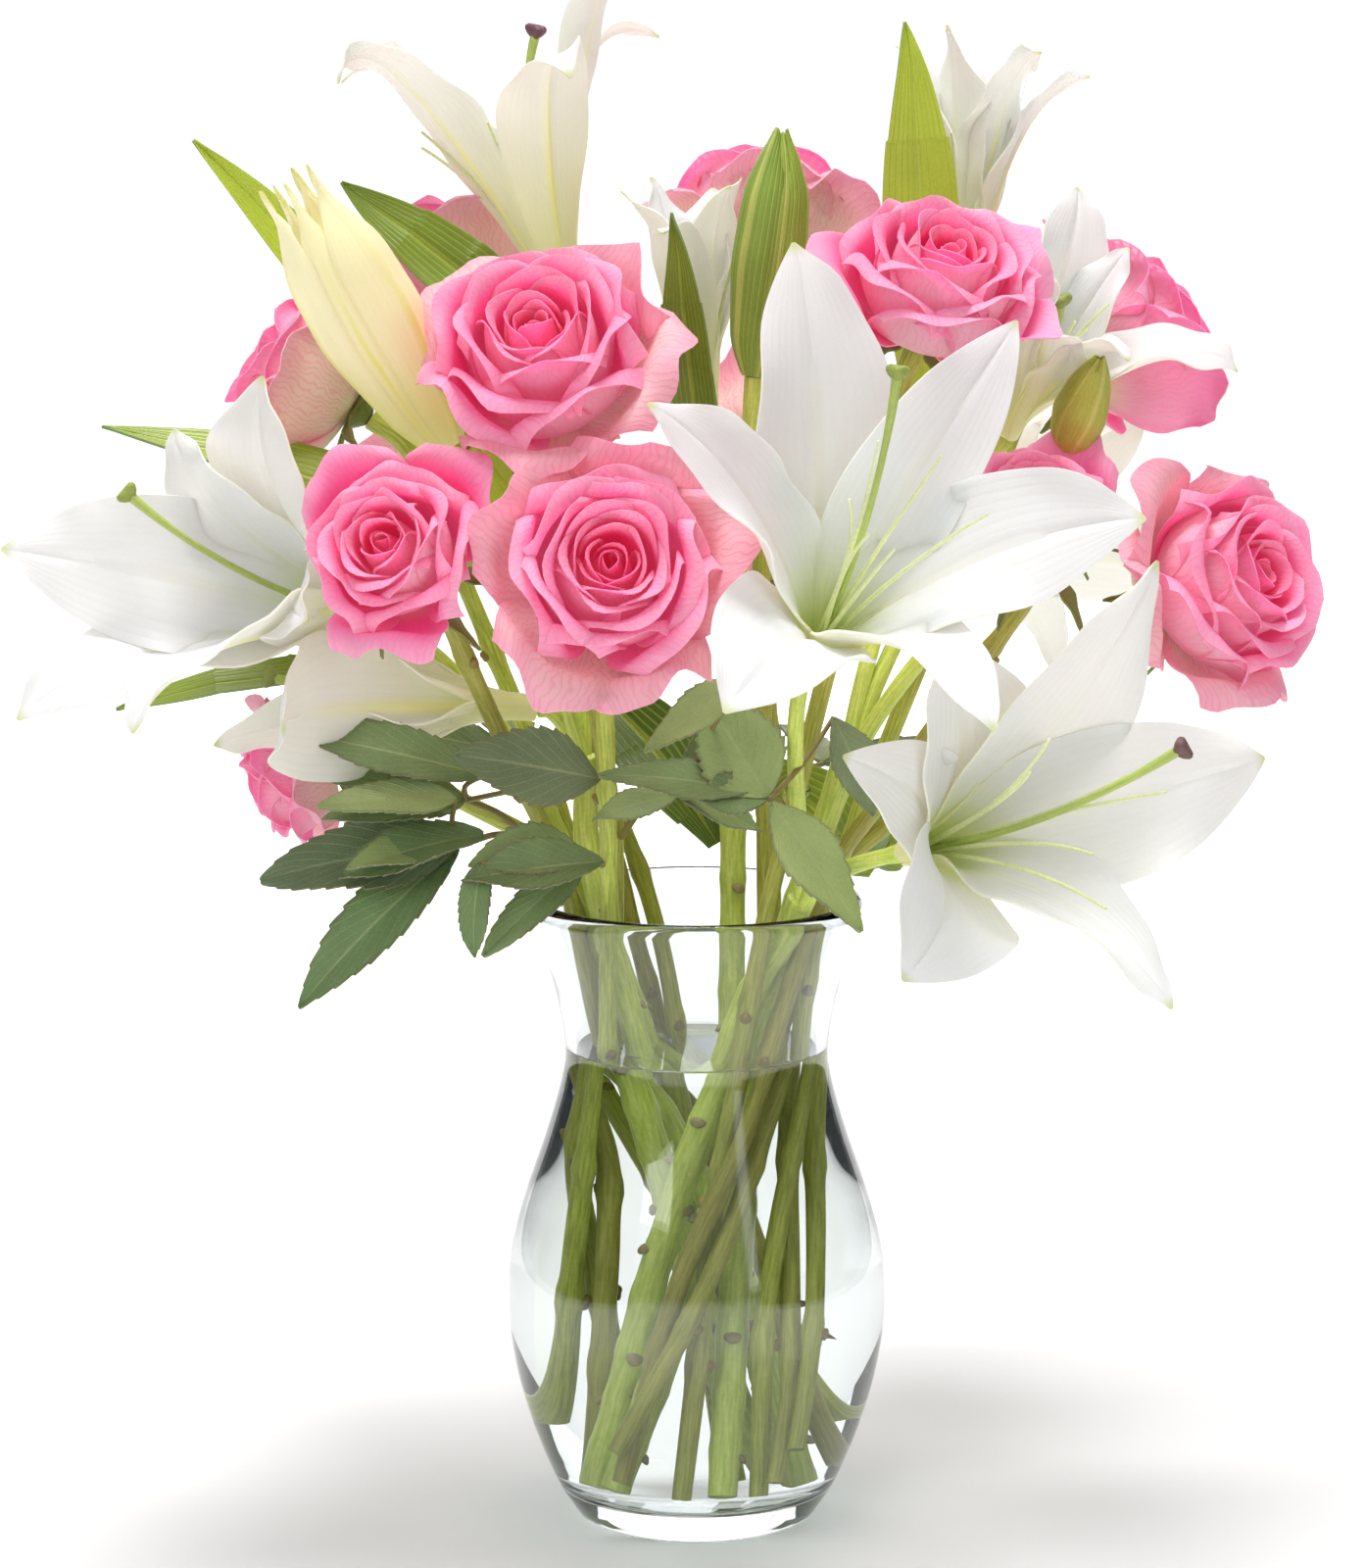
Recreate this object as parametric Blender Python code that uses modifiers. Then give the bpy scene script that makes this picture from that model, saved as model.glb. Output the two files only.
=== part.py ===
"""A clear glass vase of water holding white lilies and pink garden roses.

World axes: +Z up, the bouquet's front faces -Y.  The origin is the middle of the vase's flat
underside.  The vase is turned, the stems are tubes that cross in the neck and are pushed apart
there until none touches, and each flower sits on the end of its own stem or side stalk.
"""
import math

import bmesh
import bpy
import numpy as np
from mathutils import Matrix, Vector

MM = 0.001
GAP = 0.3 * MM                      # air between pieces that meet

# vase -------------------------------------------------------------------------------
VASE_HEIGHT = 204 * MM
VASE_FLOOR = 11 * MM                # thickness of the glass at the bottom
WALL_LOW = 4.2 * MM                 # wall thickness in the belly
WALL_HIGH = 3.2 * MM                # wall thickness at the neck and the lip
# half width of the vase at each height, foot to lip, in mm
VASE_SHAPE = ((0, 36), (3, 40.5), (12, 46), (29, 53), (46, 58), (62, 60.8), (75, 61.3), (89, 60),
              (107, 55.2), (127, 48.4), (145, 43.4), (156, 42.5), (173, 45.4), (189, 50.2), (201, 53))
TURN_STEPS = 28

WATER_LEVEL = 154 * MM

# stems ------------------------------------------------------------------------------
ROSE_STEM = 3.2 * MM                # radius
LILY_STEM = 4.6 * MM
STALK = 2.6 * MM                    # radius of a lily's side stalk
LEAF_STALK = 1.1 * MM
NECK_HEIGHT = 150 * MM              # where the stems cross
NECK_ROSES = 25 * MM                # ring of the rose stems in the neck
NECK_LILIES = 11 * MM               # ring of the lily stems inside it
FOOT_RINGS = (44 * MM, 25 * MM, 37 * MM)      # rings of the cut ends, taken in turn
LEAD = math.radians(66)             # how far a stem turns round from the neck to its flower
STEM_POINTS = 15
SETTLE_STEPS = 420
CLEARANCE = 1.2 * MM

# flowers ----------------------------------------------------------------------------
ROSE_HEIGHT = 1.28                  # height of a rose head, in head radii
PETAL_THICK = 1.0 * MM
LEAF_THICK = 0.8 * MM

# roses: where the head's underside sits (mm), the way it faces, and its radius (mm)
ROSES = {
    "1": ((-44, -44, 364), (-0.10, -0.75, 0.65), 37),
    "2": ((-84, -73, 316), (-0.25, -0.85, 0.40), 29),
    "3": ((-28, -80, 311), (0.08, -0.90, 0.35), 35),
    "4": ((67, -45, 383), (0.25, -0.55, 0.80), 32),
    "5": ((146, -9, 299), (0.65, -0.60, 0.30), 36),
    "6": ((104, -30, 312), (-0.05, -0.52, 0.85), 28),
    "7": ((-74, 54, 380), (-0.50, 0.50, 0.70), 33),
    "8": ((-104, 12, 356), (-0.85, 0.05, 0.50), 32),
    "9": ((20, 42, 396), (0.05, 0.55, 0.83), 32),
    "10": ((118, 38, 366), (0.80, 0.40, 0.50), 35),
    "11": ((-113, -6, 250), (-0.85, -0.15, -0.35), 23),
    "12": ((24, 92, 322), (0.10, 0.92, 0.38), 35),
    "13": ((-72, 84, 318), (-0.55, 0.80, 0.28), 33),
}

# lilies: where the funnel starts (mm), the way it faces, the depth of its throat (mm), and each
# petal's turn round the funnel, its lean from the axis, its reach from the throat and its curl
LILIES = {
    "1": ((33, -80, 289), (0.24, -0.72, 0.66), 30,
          ((354, 58, 108, 25), (40, 52, 100, 30), (103, 50, 98, 30), (172, 56, 95, 45),
           (225, 65, 90, 45), (294, 51, 94, 30))),
    "2": ((62, -80, 232), (0.55, -0.80, 0.25), 30,
          ((345, 66, 70, 45), (29, 51, 103, 30), (81, 50, 92, 35), (165, 40, 90, 40),
           (232, 64, 72, 45), (300, 70, 66, 50))),
    "3": ((-98, -8, 292), (-0.64, -0.71, 0.30), 32,
          ((10, 50, 80, 40), (332, 44, 70, 60), (263, 34, 98, 30), (210, 40, 102, 35),
           (158, 36, 100, 35), (100, 46, 50, 60))),
    "4": ((-40, 30, 385), (-0.29, 0.25, 0.92), 30,
          ((98, 48, 74, 60), (140, 36, 78, 45), (346, 48, 76, 50), (300, 46, 74, 50),
           (30, 62, 60, 60), (232, 46, 78, 45))),
    "6": ((83, 35, 384), (0.12, 0.12, 0.98), 34,
          ((67, 30, 62, 50), (21, 15, 62, 10), (168, 22, 66, 45), (278, 28, 60, 60),
           (225, 34, 60, 50), (120, 26, 60, 20))),
    "7": ((3, 5, 352), (-0.06, 0.02, 0.99), 30,
          ((147, 26, 52, 35), (205, 20, 54, 10), (260, 24, 50, 30), (320, 20, 52, 15),
           (31, 22, 50, 35), (88, 40, 44, 90))),
    "8": ((98, 14, 350), (0.36, -0.45, 0.80), 26,
          ((22, 42, 60, 35), (70, 34, 48, 20), (130, 66, 62, 60), (182, 46, 42, 60),
           (240, 44, 38, 60), (308, 32, 52, 40))),
    "9": ((-50, -10, 266), (-0.95, -0.25, 0.10), 28,
          ((92, 42, 84, 60), (45, 28, 54, 40), (128, 16, 80, 20), (200, 8, 54, 10),
           (262, 22, 52, 40), (320, 24, 50, 40))),
    "10": ((66, 84, 300), (0.62, 0.74, 0.25), 30,
           ((5, 56, 86, 45), (62, 52, 90, 40), (118, 50, 86, 45), (180, 54, 84, 45),
            (240, 52, 88, 45), (302, 56, 84, 45))),
}

# buds: where the bud starts (mm), the way it points, its length and its radius (mm)
BUDS = {
    "1": ((18, -26, 372), (0.10, 0.02, 0.99), 76, 10.5),
    "2": ((116, -17, 348), (0.28, -0.24, 0.93), 32, 8),
    "3": ((-76, -38, 352), (-0.50, -0.12, 0.86), 96, 16),
}

# lily leaves: the stem or stalk that holds it, the height there (mm), the tip (mm), the width and
# the bow out of its straight line (mm), and the way that its upper side faces
LILY_LEAVES = {
    "1": ("stalk_lily_4", 308, (-156, -6, 444), 17, 8, (0.3, -0.9, 0.3)),
    "2": ("stalk_lily_6", 352, (66, 8, 480), 22, 8, (0.1, -1.0, 0.1)),
    "3": ("stalk_lily_7", 330, (-7, -24, 422), 15, 5, (-0.2, -1.0, 0.1)),
    "4": ("stalk_lily_4", 368, (-113, 20, 429), 15, 12, (-0.3, -0.7, 0.6)),
    "5": ("stalk_lily_4", 290, (-186, -14, 354), 21, 17, (0.2, -0.6, 0.8)),
    "6": ("stalk_lily_3", 266, (-184, -6, 264), 14, 12, (0, -0.3, 1.0)),
    "7": ("lily_stem_5", 230, (68, 46, 204), 26, 8, (0.2, -0.8, 0.5)),
    "8": ("lily_stem_5", 214, (-36, 62, 262), 24, 10, (0.1, -0.8, 0.5)),
}

# rose leaves: the stem that holds it, the height there (mm), the end of the leaf stalk (mm), and
# the tip (mm) and width (mm) of each leaflet, the one at the end of the stalk first
ROSE_LEAVES = {
    "1": ("rose_stem_11", 214, (-74, -42, 228),
          (((-123, -60, 180), 19), ((-136, -40, 216), 25), ((-107, -68, 225), 15))),
    "2": ("rose_stem_2", 228, (-72, -32, 240),
          (((-122, -40, 249), 19), ((-115, -58, 238), 15))),
    "3": ("rose_stem_3", 212, (-34, -54, 226),
          (((-70, -60, 224), 19), ((-66, -64, 197), 12))),
    "4": ("rose_stem_4", 224, (22, -64, 246),
          (((50, -76, 207), 17), ((2, -58, 277), 24), ((-3, -70, 248), 12))),
    "5": ("rose_stem_1", 232, (-6, -52, 246),
          (((20, -54, 234), 10), ((-32, -66, 240), 10), ((8, -42, 273), 10))),
    "6": ("rose_stem_13", 222, (-58, 58, 240),
          (((-104, 74, 222), 26), ((-78, 98, 252), 20), ((-104, 44, 250), 20))),
    "7": ("rose_stem_12", 222, (42, 66, 236),
          (((78, 98, 214), 26), ((26, 104, 244), 20), ((92, 62, 244), 20))),
}

# lily stems: where the side stalks part (mm) and the flowers that they carry
LILY_STEMS = {
    "1": ((34, -34, 216), ("lily_1", "lily_2")),
    "2": ((-36, -8, 250), ("lily_4", "bud_3", "lily_9")),
    "3": ((-50, 12, 236), ("lily_3",)),
    "4": ((48, -16, 258), ("lily_6", "lily_8", "bud_2")),
    "5": ((12, 18, 262), ("lily_7", "bud_1", "lily_10")),
}

PINK = (0.86, 0.22, 0.38, 1)
WHITE = (0.90, 0.90, 0.86, 1)
GREEN = (0.16, 0.30, 0.08, 1)
DARK_GREEN = (0.06, 0.14, 0.05, 1)
BUD_GREEN = (0.40, 0.50, 0.16, 1)
GLASS = (0.86, 0.93, 0.91, 1)
WATER = (0.90, 0.95, 0.95, 1)


# helpers ----------------------------------------------------------------------------
def clear_scene():
    for old in list(bpy.data.objects):
        bpy.data.objects.remove(old, do_unlink=True)


def new_collection(name):
    group = bpy.data.collections.new(name)
    bpy.context.scene.collection.children.link(group)
    return group


def material(name, colour, roughness, metallic=0.0):
    mat = bpy.data.materials.new(name)
    mat.use_nodes = True
    shader = mat.node_tree.nodes["Principled BSDF"]
    shader.inputs["Base Color"].default_value = colour
    shader.inputs["Roughness"].default_value = roughness
    shader.inputs["Metallic"].default_value = metallic
    mat.diffuse_color = colour
    return mat


def mesh_object(name, bm, mat, group):
    mesh = bpy.data.meshes.new(name)
    bm.normal_update()
    bm.to_mesh(mesh)
    bm.free()
    obj = bpy.data.objects.new(name, mesh)
    group.objects.link(obj)
    if mat:
        mesh.materials.append(mat)
    mesh.shade_smooth()
    mesh.set_sharp_from_angle(angle=math.radians(40))
    return obj


def turned(name, profile, mat, group, steps=TURN_STEPS):
    """Turn a profile of (radius, height) points, inner floor first, about its own Z."""
    bm = bmesh.new()
    points = [bm.verts.new((radius, 0, height)) for radius, height in profile]
    for a, b in zip(points, points[1:]):
        bm.edges.new((a, b))
    obj = mesh_object(name, bm, mat, group)
    screw = obj.modifiers.new("turn", "SCREW")
    screw.steps = screw.render_steps = steps
    screw.use_merge_vertices = True
    screw.merge_threshold = 0.00005
    screw.use_smooth_shade = True
    return obj


def aim(origin, direction):
    """A placement whose Z runs along direction and whose X is as close to straight up as can be."""
    axis = Vector(direction).normalized()
    up = Vector((0, 0, 1))
    side = (up - axis * up.dot(axis)).normalized()
    other = axis.cross(side)
    turn = Matrix((side, other, axis)).transposed()
    return Matrix.Translation(Vector(origin)) @ turn.to_4x4()


def outer_radius(height):
    """Half width of the vase outside at a height, on straight runs between the shape's rows."""
    rows = VASE_SHAPE
    return float(np.interp(height / MM, [row[0] for row in rows], [row[1] for row in rows])) * MM


def inner_radius(height):
    low = (VASE_HEIGHT - height) / VASE_HEIGHT
    return outer_radius(height) - (WALL_HIGH + (WALL_LOW - WALL_HIGH) * low)


# vase and water ---------------------------------------------------------------------
def inner_profile(top, clearance):
    """Inner wall from the axis of the floor up to a height, with a rounded corner at the floor."""
    floor = VASE_FLOOR + clearance
    wide = inner_radius(floor + 9 * MM) - clearance
    corner = [(wide - 9 * MM + 9 * MM * math.sin(a), floor + 9 * MM - 9 * MM * math.cos(a))
              for a in (0.0, 0.52, 1.05)]
    rows = [row[0] * MM for row in VASE_SHAPE if floor + 12 * MM < row[0] * MM < top - 2 * MM]
    wall = [(inner_radius(height) - clearance, height) for height in rows]
    return [(0, floor)] + corner + wall


def build_vase(mat, group):
    lip = (outer_radius(VASE_HEIGHT) + inner_radius(VASE_HEIGHT)) / 2
    bead = 2.2 * MM
    centre = VASE_HEIGHT - bead
    rim = [(lip + bead * math.cos(a), centre + bead * math.sin(a))
           for a in (math.radians(angle) for angle in (200, 150, 90, 30, -20))]
    outside = [(radius * MM, height * MM) for height, radius in reversed(VASE_SHAPE)
               if height < 195]
    return turned("vase", inner_profile(centre - bead, 0) + rim + outside + [(0, 0)], mat, group)


def build_water(mat, group, cutters):
    profile = inner_profile(WATER_LEVEL, GAP)
    profile += [(inner_radius(WATER_LEVEL) - GAP, WATER_LEVEL), (0, WATER_LEVEL)]
    water = turned("water", profile, mat, group)
    for cutter in cutters:
        cut = water.modifiers.new("room for " + cutter.name, "BOOLEAN")
        cut.operation = "DIFFERENCE"
        cut.solver = "EXACT"
        cut.object = cutter
    return water


# stems ------------------------------------------------------------------------------
def bezier(points, count):
    """Points on the smooth curve that starts at the first control point and ends at the last."""
    order = len(points) - 1
    line = []
    for i in range(count):
        t = i / (count - 1)
        spot = Vector((0, 0, 0))
        for k, point in enumerate(points):
            spot += Vector(point) * (math.comb(order, k) * t ** k * (1 - t) ** (order - k))
        line.append(spot)
    return line


def stem_route(end, direction, neck_ring, foot_ring, radius, bend):
    """A stem from its foot, up through the neck, to the flower at its end.

    In the neck each stem runs across its ring, at a tangent, so that all of them lean round the
    same way: below the neck they open out again towards their feet.
    """
    around = math.atan2(end.y, end.x) - LEAD
    out = Vector((math.cos(around), math.sin(around), 0))
    across = Vector((-math.sin(around), math.cos(around), 0))
    neck = out * neck_ring + Vector((0, 0, NECK_HEIGHT))
    sweep = math.sqrt(foot_ring ** 2 - neck_ring ** 2) if foot_ring > neck_ring else 0
    foot = out * min(neck_ring, foot_ring) - across * sweep
    foot.z = VASE_FLOOR + radius + 1.5 * MM + max(0, foot_ring - 34 * MM) * 1.6
    low = bezier((foot, foot.lerp(neck, 0.5), neck), 6)
    rise = (end - neck).length
    out = neck + (neck - foot).normalized() * rise * 0.42
    back = end - direction * rise * bend
    high = bezier((neck, out, back, end), STEM_POINTS - 5)
    return low[:-1] + high


def stalk_route(fork, seat, axis, place):
    """A side stalk, from inside the top of its upright stem to the underside of its flower."""
    end = seat - axis * GAP * 2
    start = fork - Vector((0, 0, (2.4 + 1.3 * place) * MM))
    reach = (end - start).length
    lean = (Vector((0, 0, 1)) + (end - start).normalized()) * 0.5
    return bezier((start, start + lean * reach * 0.3, end - axis * reach * 0.3, end), 8)


def nearest_on_segments(points, starts, ends):
    along = ends - starts
    length = np.maximum((along ** 2).sum(axis=-1), 1e-12)
    share = ((points - starts) * along).sum(axis=-1) / length
    share = np.clip(share, 0, 1)
    return starts + along * share[..., None]


def push_off(line, other, need):
    """How far each point of a line has to move to be as far as it needs from another line."""
    points = line[:, None, :]
    away = points - nearest_on_segments(points, other[None, :-1], other[None, 1:])
    far = np.linalg.norm(away, axis=-1)
    pick = far.argmin(axis=1)
    rows = np.arange(len(pick))
    dist = far[rows, pick]
    push = np.clip(need - dist, 0, None) / np.maximum(dist, 1e-6)
    return away[rows, pick] * push[:, None]


def settle(routes, radii, balls, stalks):
    """Push the stems apart, off the glass and out of the flower heads, and keep them smooth."""
    lines = [np.array([tuple(p) for p in route]) for route in routes]
    count = len(lines)
    fixed = [np.array([tuple(p) for p in stalk]) for stalk in stalks]
    for step in range(SETTLE_STEPS):
        moved = [line.copy() for line in lines]
        for i in range(count):
            for k in range(count):
                if i != k:
                    moved[i] += push_off(lines[i], lines[k], radii[i] + radii[k] + CLEARANCE) * 0.5
            if radii[i] < LILY_STEM:
                for stalk in fixed:
                    moved[i] += push_off(lines[i], stalk, radii[i] + STALK + CLEARANCE)
            for owner, centre, ball in balls:
                if owner == i:
                    continue
                away = moved[i] - np.array(centre)
                dist = np.linalg.norm(away, axis=1)
                push = np.clip(ball + radii[i] + CLEARANCE - dist, 0, None)
                moved[i] += away / np.maximum(dist, 1e-6)[:, None] * push[:, None]
            if step < SETTLE_STEPS - 30:
                line = moved[i]
                middle = (line[:-2] + line[2:]) / 2
                line[1:-1] += (middle - line[1:-1]) * 0.18
            keep_in_vase(moved[i], radii[i])
            moved[i][-2:] = lines[i][-2:]
            moved[i][0, 2] = lines[i][0, 2]
        lines = moved
    return [[Vector(point) for point in line] for line in lines]


def keep_in_vase(line, radius):
    """Hold every point below the lip inside the glass."""
    for point in line:
        above = point[2] - VASE_HEIGHT
        if above > 26 * MM:
            continue
        height = min(max(point[2], VASE_FLOOR + 9 * MM), VASE_HEIGHT - 4 * MM)
        room = min(inner_radius(height + step) for step in (-9 * MM, 0, 9 * MM))
        room += max(above, 0) * 0.5 - radius * 1.15 - CLEARANCE
        if abs(above) < 20 * MM:
            room -= 2 * MM
        if point[2] < VASE_FLOOR + 20 * MM:
            room -= 3 * MM
        spread = math.hypot(point[0], point[1])
        if spread > room:
            point[0] *= room / spread
            point[1] *= room / spread


def tube(name, line, radius, mat, group, resolution=2, ends=(1.0, 1.0)):
    """A closed tube mesh along a line, slightly thinner or thicker towards its ends."""
    curve = bpy.data.curves.new(name, "CURVE")
    curve.dimensions = "3D"
    curve.bevel_depth = radius
    curve.bevel_resolution = resolution
    curve.use_fill_caps = True
    spline = curve.splines.new("POLY")
    spline.points.add(len(line) - 1)
    for i, point in enumerate(line):
        spline.points[i].co = (*point, 1)
        spline.points[i].radius = ends[0] + (ends[1] - ends[0]) * i / (len(line) - 1)
    guide = bpy.data.objects.new(name + "_guide", curve)
    group.objects.link(guide)
    graph = bpy.context.evaluated_depsgraph_get()
    mesh = bpy.data.meshes.new_from_object(guide.evaluated_get(graph))
    bpy.data.objects.remove(guide, do_unlink=True)
    bm = bmesh.new()
    bm.from_mesh(mesh)
    bpy.data.meshes.remove(mesh)
    bmesh.ops.remove_doubles(bm, verts=bm.verts, dist=0.00001)
    return mesh_object(name, bm, mat, group)


def cutter(obj):
    obj.hide_render = True
    obj.display_type = "WIRE"
    return obj


def join(body, added):
    """Make one solid of a body and a piece that grows out of it."""
    union = body.modifiers.new("joined to " + added.name, "BOOLEAN")
    union.operation = "UNION"
    union.solver = "EXACT"
    union.object = cutter(added)


# flowers ----------------------------------------------------------------------------
def build_rose(name, seat, facing, radius, mat, group):
    """A full rose head: hip, rounded cup, rolled edge and a shallow dipped crown."""
    high = ROSE_HEIGHT * radius
    outline = ((0, 0.86), (0.45, 0.90), (0.78, 1.0), (0.97, 0.88), (1.0, 0.68), (0.86, 0.42),
               (0.58, 0.20), (0.22, 0.12), (0.12, 0.012), (0, 0.012))
    rose = turned(name, [(r * radius, h * high) for r, h in outline], mat, group, steps=14)
    rose.matrix_world = aim(seat, facing)
    return rose


def petal_line(throat, lean, reach, curl, t):
    """Distance out and height up the funnel of a petal's middle, at a share t of its length."""
    lean = math.radians(lean)
    end = lean + math.radians(curl)
    tip = Vector((reach * math.sin(lean), throat + reach * math.cos(lean)))
    start = Vector((3.2 * MM, 1.2 * MM))
    rise = Vector((4.5 * MM, throat * 0.95))
    reined = tip - Vector((math.sin(end), math.cos(end))) * reach * 0.38
    order = (start, rise, reined, tip)
    spot = Vector((0, 0))
    for k, point in enumerate(order):
        spot += point * (math.comb(3, k) * t ** k * (1 - t) ** (3 - k))
    return spot


def build_lily(name, seat, facing, throat, petals, mat, group):
    """Six petals that part from one funnel, as an open shell given its thickness.

    A petal's turn is clockwise for someone who looks into the flower, from the top of the flower.
    """
    rows = (0.0, 0.12, 0.26, 0.44, 0.62, 0.80, 1.0)
    joined = 3                       # rows that the six petals share as a funnel
    widest = 15 * MM
    bm = bmesh.new()
    bottom = bm.verts.new((0, 0, 0.6 * MM))
    grid = []
    petals = sorted(petals, reverse=True)
    for k, (turn, lean, reach, curl) in enumerate(petals):
        around = -math.radians(turn)
        # a steep petal keeps within half the angle to each of its neighbours
        gaps = ((petals[k - 1][0] - turn) % 360, (turn - petals[(k + 1) % len(petals)][0]) % 360)
        room = [math.tan(math.radians(min(gap / 2, 60))) * 0.90 for gap in gaps]
        out = Vector((math.cos(around), math.sin(around), 0))
        side = Vector((-math.sin(around), math.cos(around), 0))
        strip = []
        for i, t in enumerate(rows):
            spot = petal_line(throat, lean, reach, curl, t)
            middle = out * spot.x + Vector((0, 0, spot.y))
            half = widest * math.sin(math.pi * (0.12 + 0.84 * t)) ** 0.8
            if i < joined:
                half = min(half, spot.x * 0.42)
            edge = Vector((0, 0, half * 0.18 if i >= joined else 0))
            low, high = (min(half, spot.x * angle) for angle in room)
            strip.append([bm.verts.new(middle - side * low + edge), bm.verts.new(middle),
                          bm.verts.new(middle + side * high + edge)])
        grid.append(strip)
    for k, strip in enumerate(grid):
        following = grid[(k + 1) % len(grid)]
        for low, high in zip(strip, strip[1:]):
            for c in (0, 1):
                bm.faces.new((low[c], low[c + 1], high[c + 1], high[c]))
        for i in range(joined - 1):
            bm.faces.new((strip[i][2], following[i][0], following[i + 1][0], strip[i + 1][2]))
        bm.faces.new((bottom, strip[0][1], strip[0][0]))
        bm.faces.new((bottom, strip[0][2], strip[0][1]))
        bm.faces.new((bottom, following[0][0], strip[0][2]))
    bmesh.ops.recalc_face_normals(bm, faces=bm.faces)
    lily = mesh_object(name, bm, mat, group)
    lily.matrix_world = aim(seat, facing)
    shell = lily.modifiers.new("petal thickness", "SOLIDIFY")
    shell.thickness = PETAL_THICK
    shell.offset = 0
    return lily


def build_bud(name, seat, facing, length, radius, mat, group):
    outline = ((0, 1.0), (0.30, 0.96), (0.72, 0.80), (1.0, 0.50), (0.86, 0.25), (0.50, 0.07),
               (0.30, 0.0), (0, 0.0))
    bud = turned(name, [(r * radius, h * length) for r, h in outline], mat, group, steps=12)
    bud.matrix_world = aim(seat, facing)
    return bud


# leaves -----------------------------------------------------------------------------
def build_blade(name, root, tip, width, bow, facing, mat, group):
    """One leaf blade: widest before its middle, bowed, and folded a little along its rib."""
    along = (tip - root).normalized()
    side = along.cross(Vector(facing)).normalized()
    normal = side.cross(along).normalized()
    bm = bmesh.new()
    rows = []
    for t in (0.0, 0.14, 0.32, 0.52, 0.72, 0.88, 1.0):
        half = width / 2 * math.sin(math.pi * (0.05 + 0.92 * t ** 0.85)) ** 0.9
        middle = root.lerp(tip, t) + normal * bow * math.sin(math.pi * t)
        fold = normal * half * 0.22
        rows.append([bm.verts.new(middle + side * half * c + fold * abs(c)) for c in (-1, 0, 1)])
    for low, high in zip(rows, rows[1:]):
        for c in (0, 1):
            bm.faces.new((low[c], low[c + 1], high[c + 1], high[c]))
    leaf = mesh_object(name, bm, mat, group)
    shell = leaf.modifiers.new("leaf thickness", "SOLIDIFY")
    shell.thickness = LEAF_THICK
    shell.offset = 0
    return leaf


def leave_stem(line, radius, height, towards):
    """The point just off a stem's side, at a height, on the side that faces towards."""
    place = min(range(1, len(line)), key=lambda i: abs(line[i].z - height * MM))
    spot = line[place]
    along = (spot - line[place - 1]).normalized()
    away = towards - spot
    away -= along * away.dot(along)
    return spot + away.normalized() * (radius * 1.2 + LEAF_STALK + GAP)


def build_rose_leaf(name, root, end, leaflets, mat, group, cutters):
    stalk = tube(name, [root, root.lerp(end, 0.5) + Vector((0, 0, 3 * MM)), end], LEAF_STALK,
                 mat, group)
    for i, (tip, width) in enumerate(leaflets):
        base = end.lerp(root, 0.04 + 0.11 * i)
        away = (vec(tip) - end).normalized()
        facing = Vector((away.x * 0.4, away.y * 0.4 - 0.35, 1.0))
        blade = build_blade(f"{name}_leaflet_{i}", base, vec(tip), width * MM, 5 * MM, facing,
                            None, cutters)
        join(stalk, blade)
    return stalk


# assembly ---------------------------------------------------------------------------
def vec(values):
    return Vector(values) * MM


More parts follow.
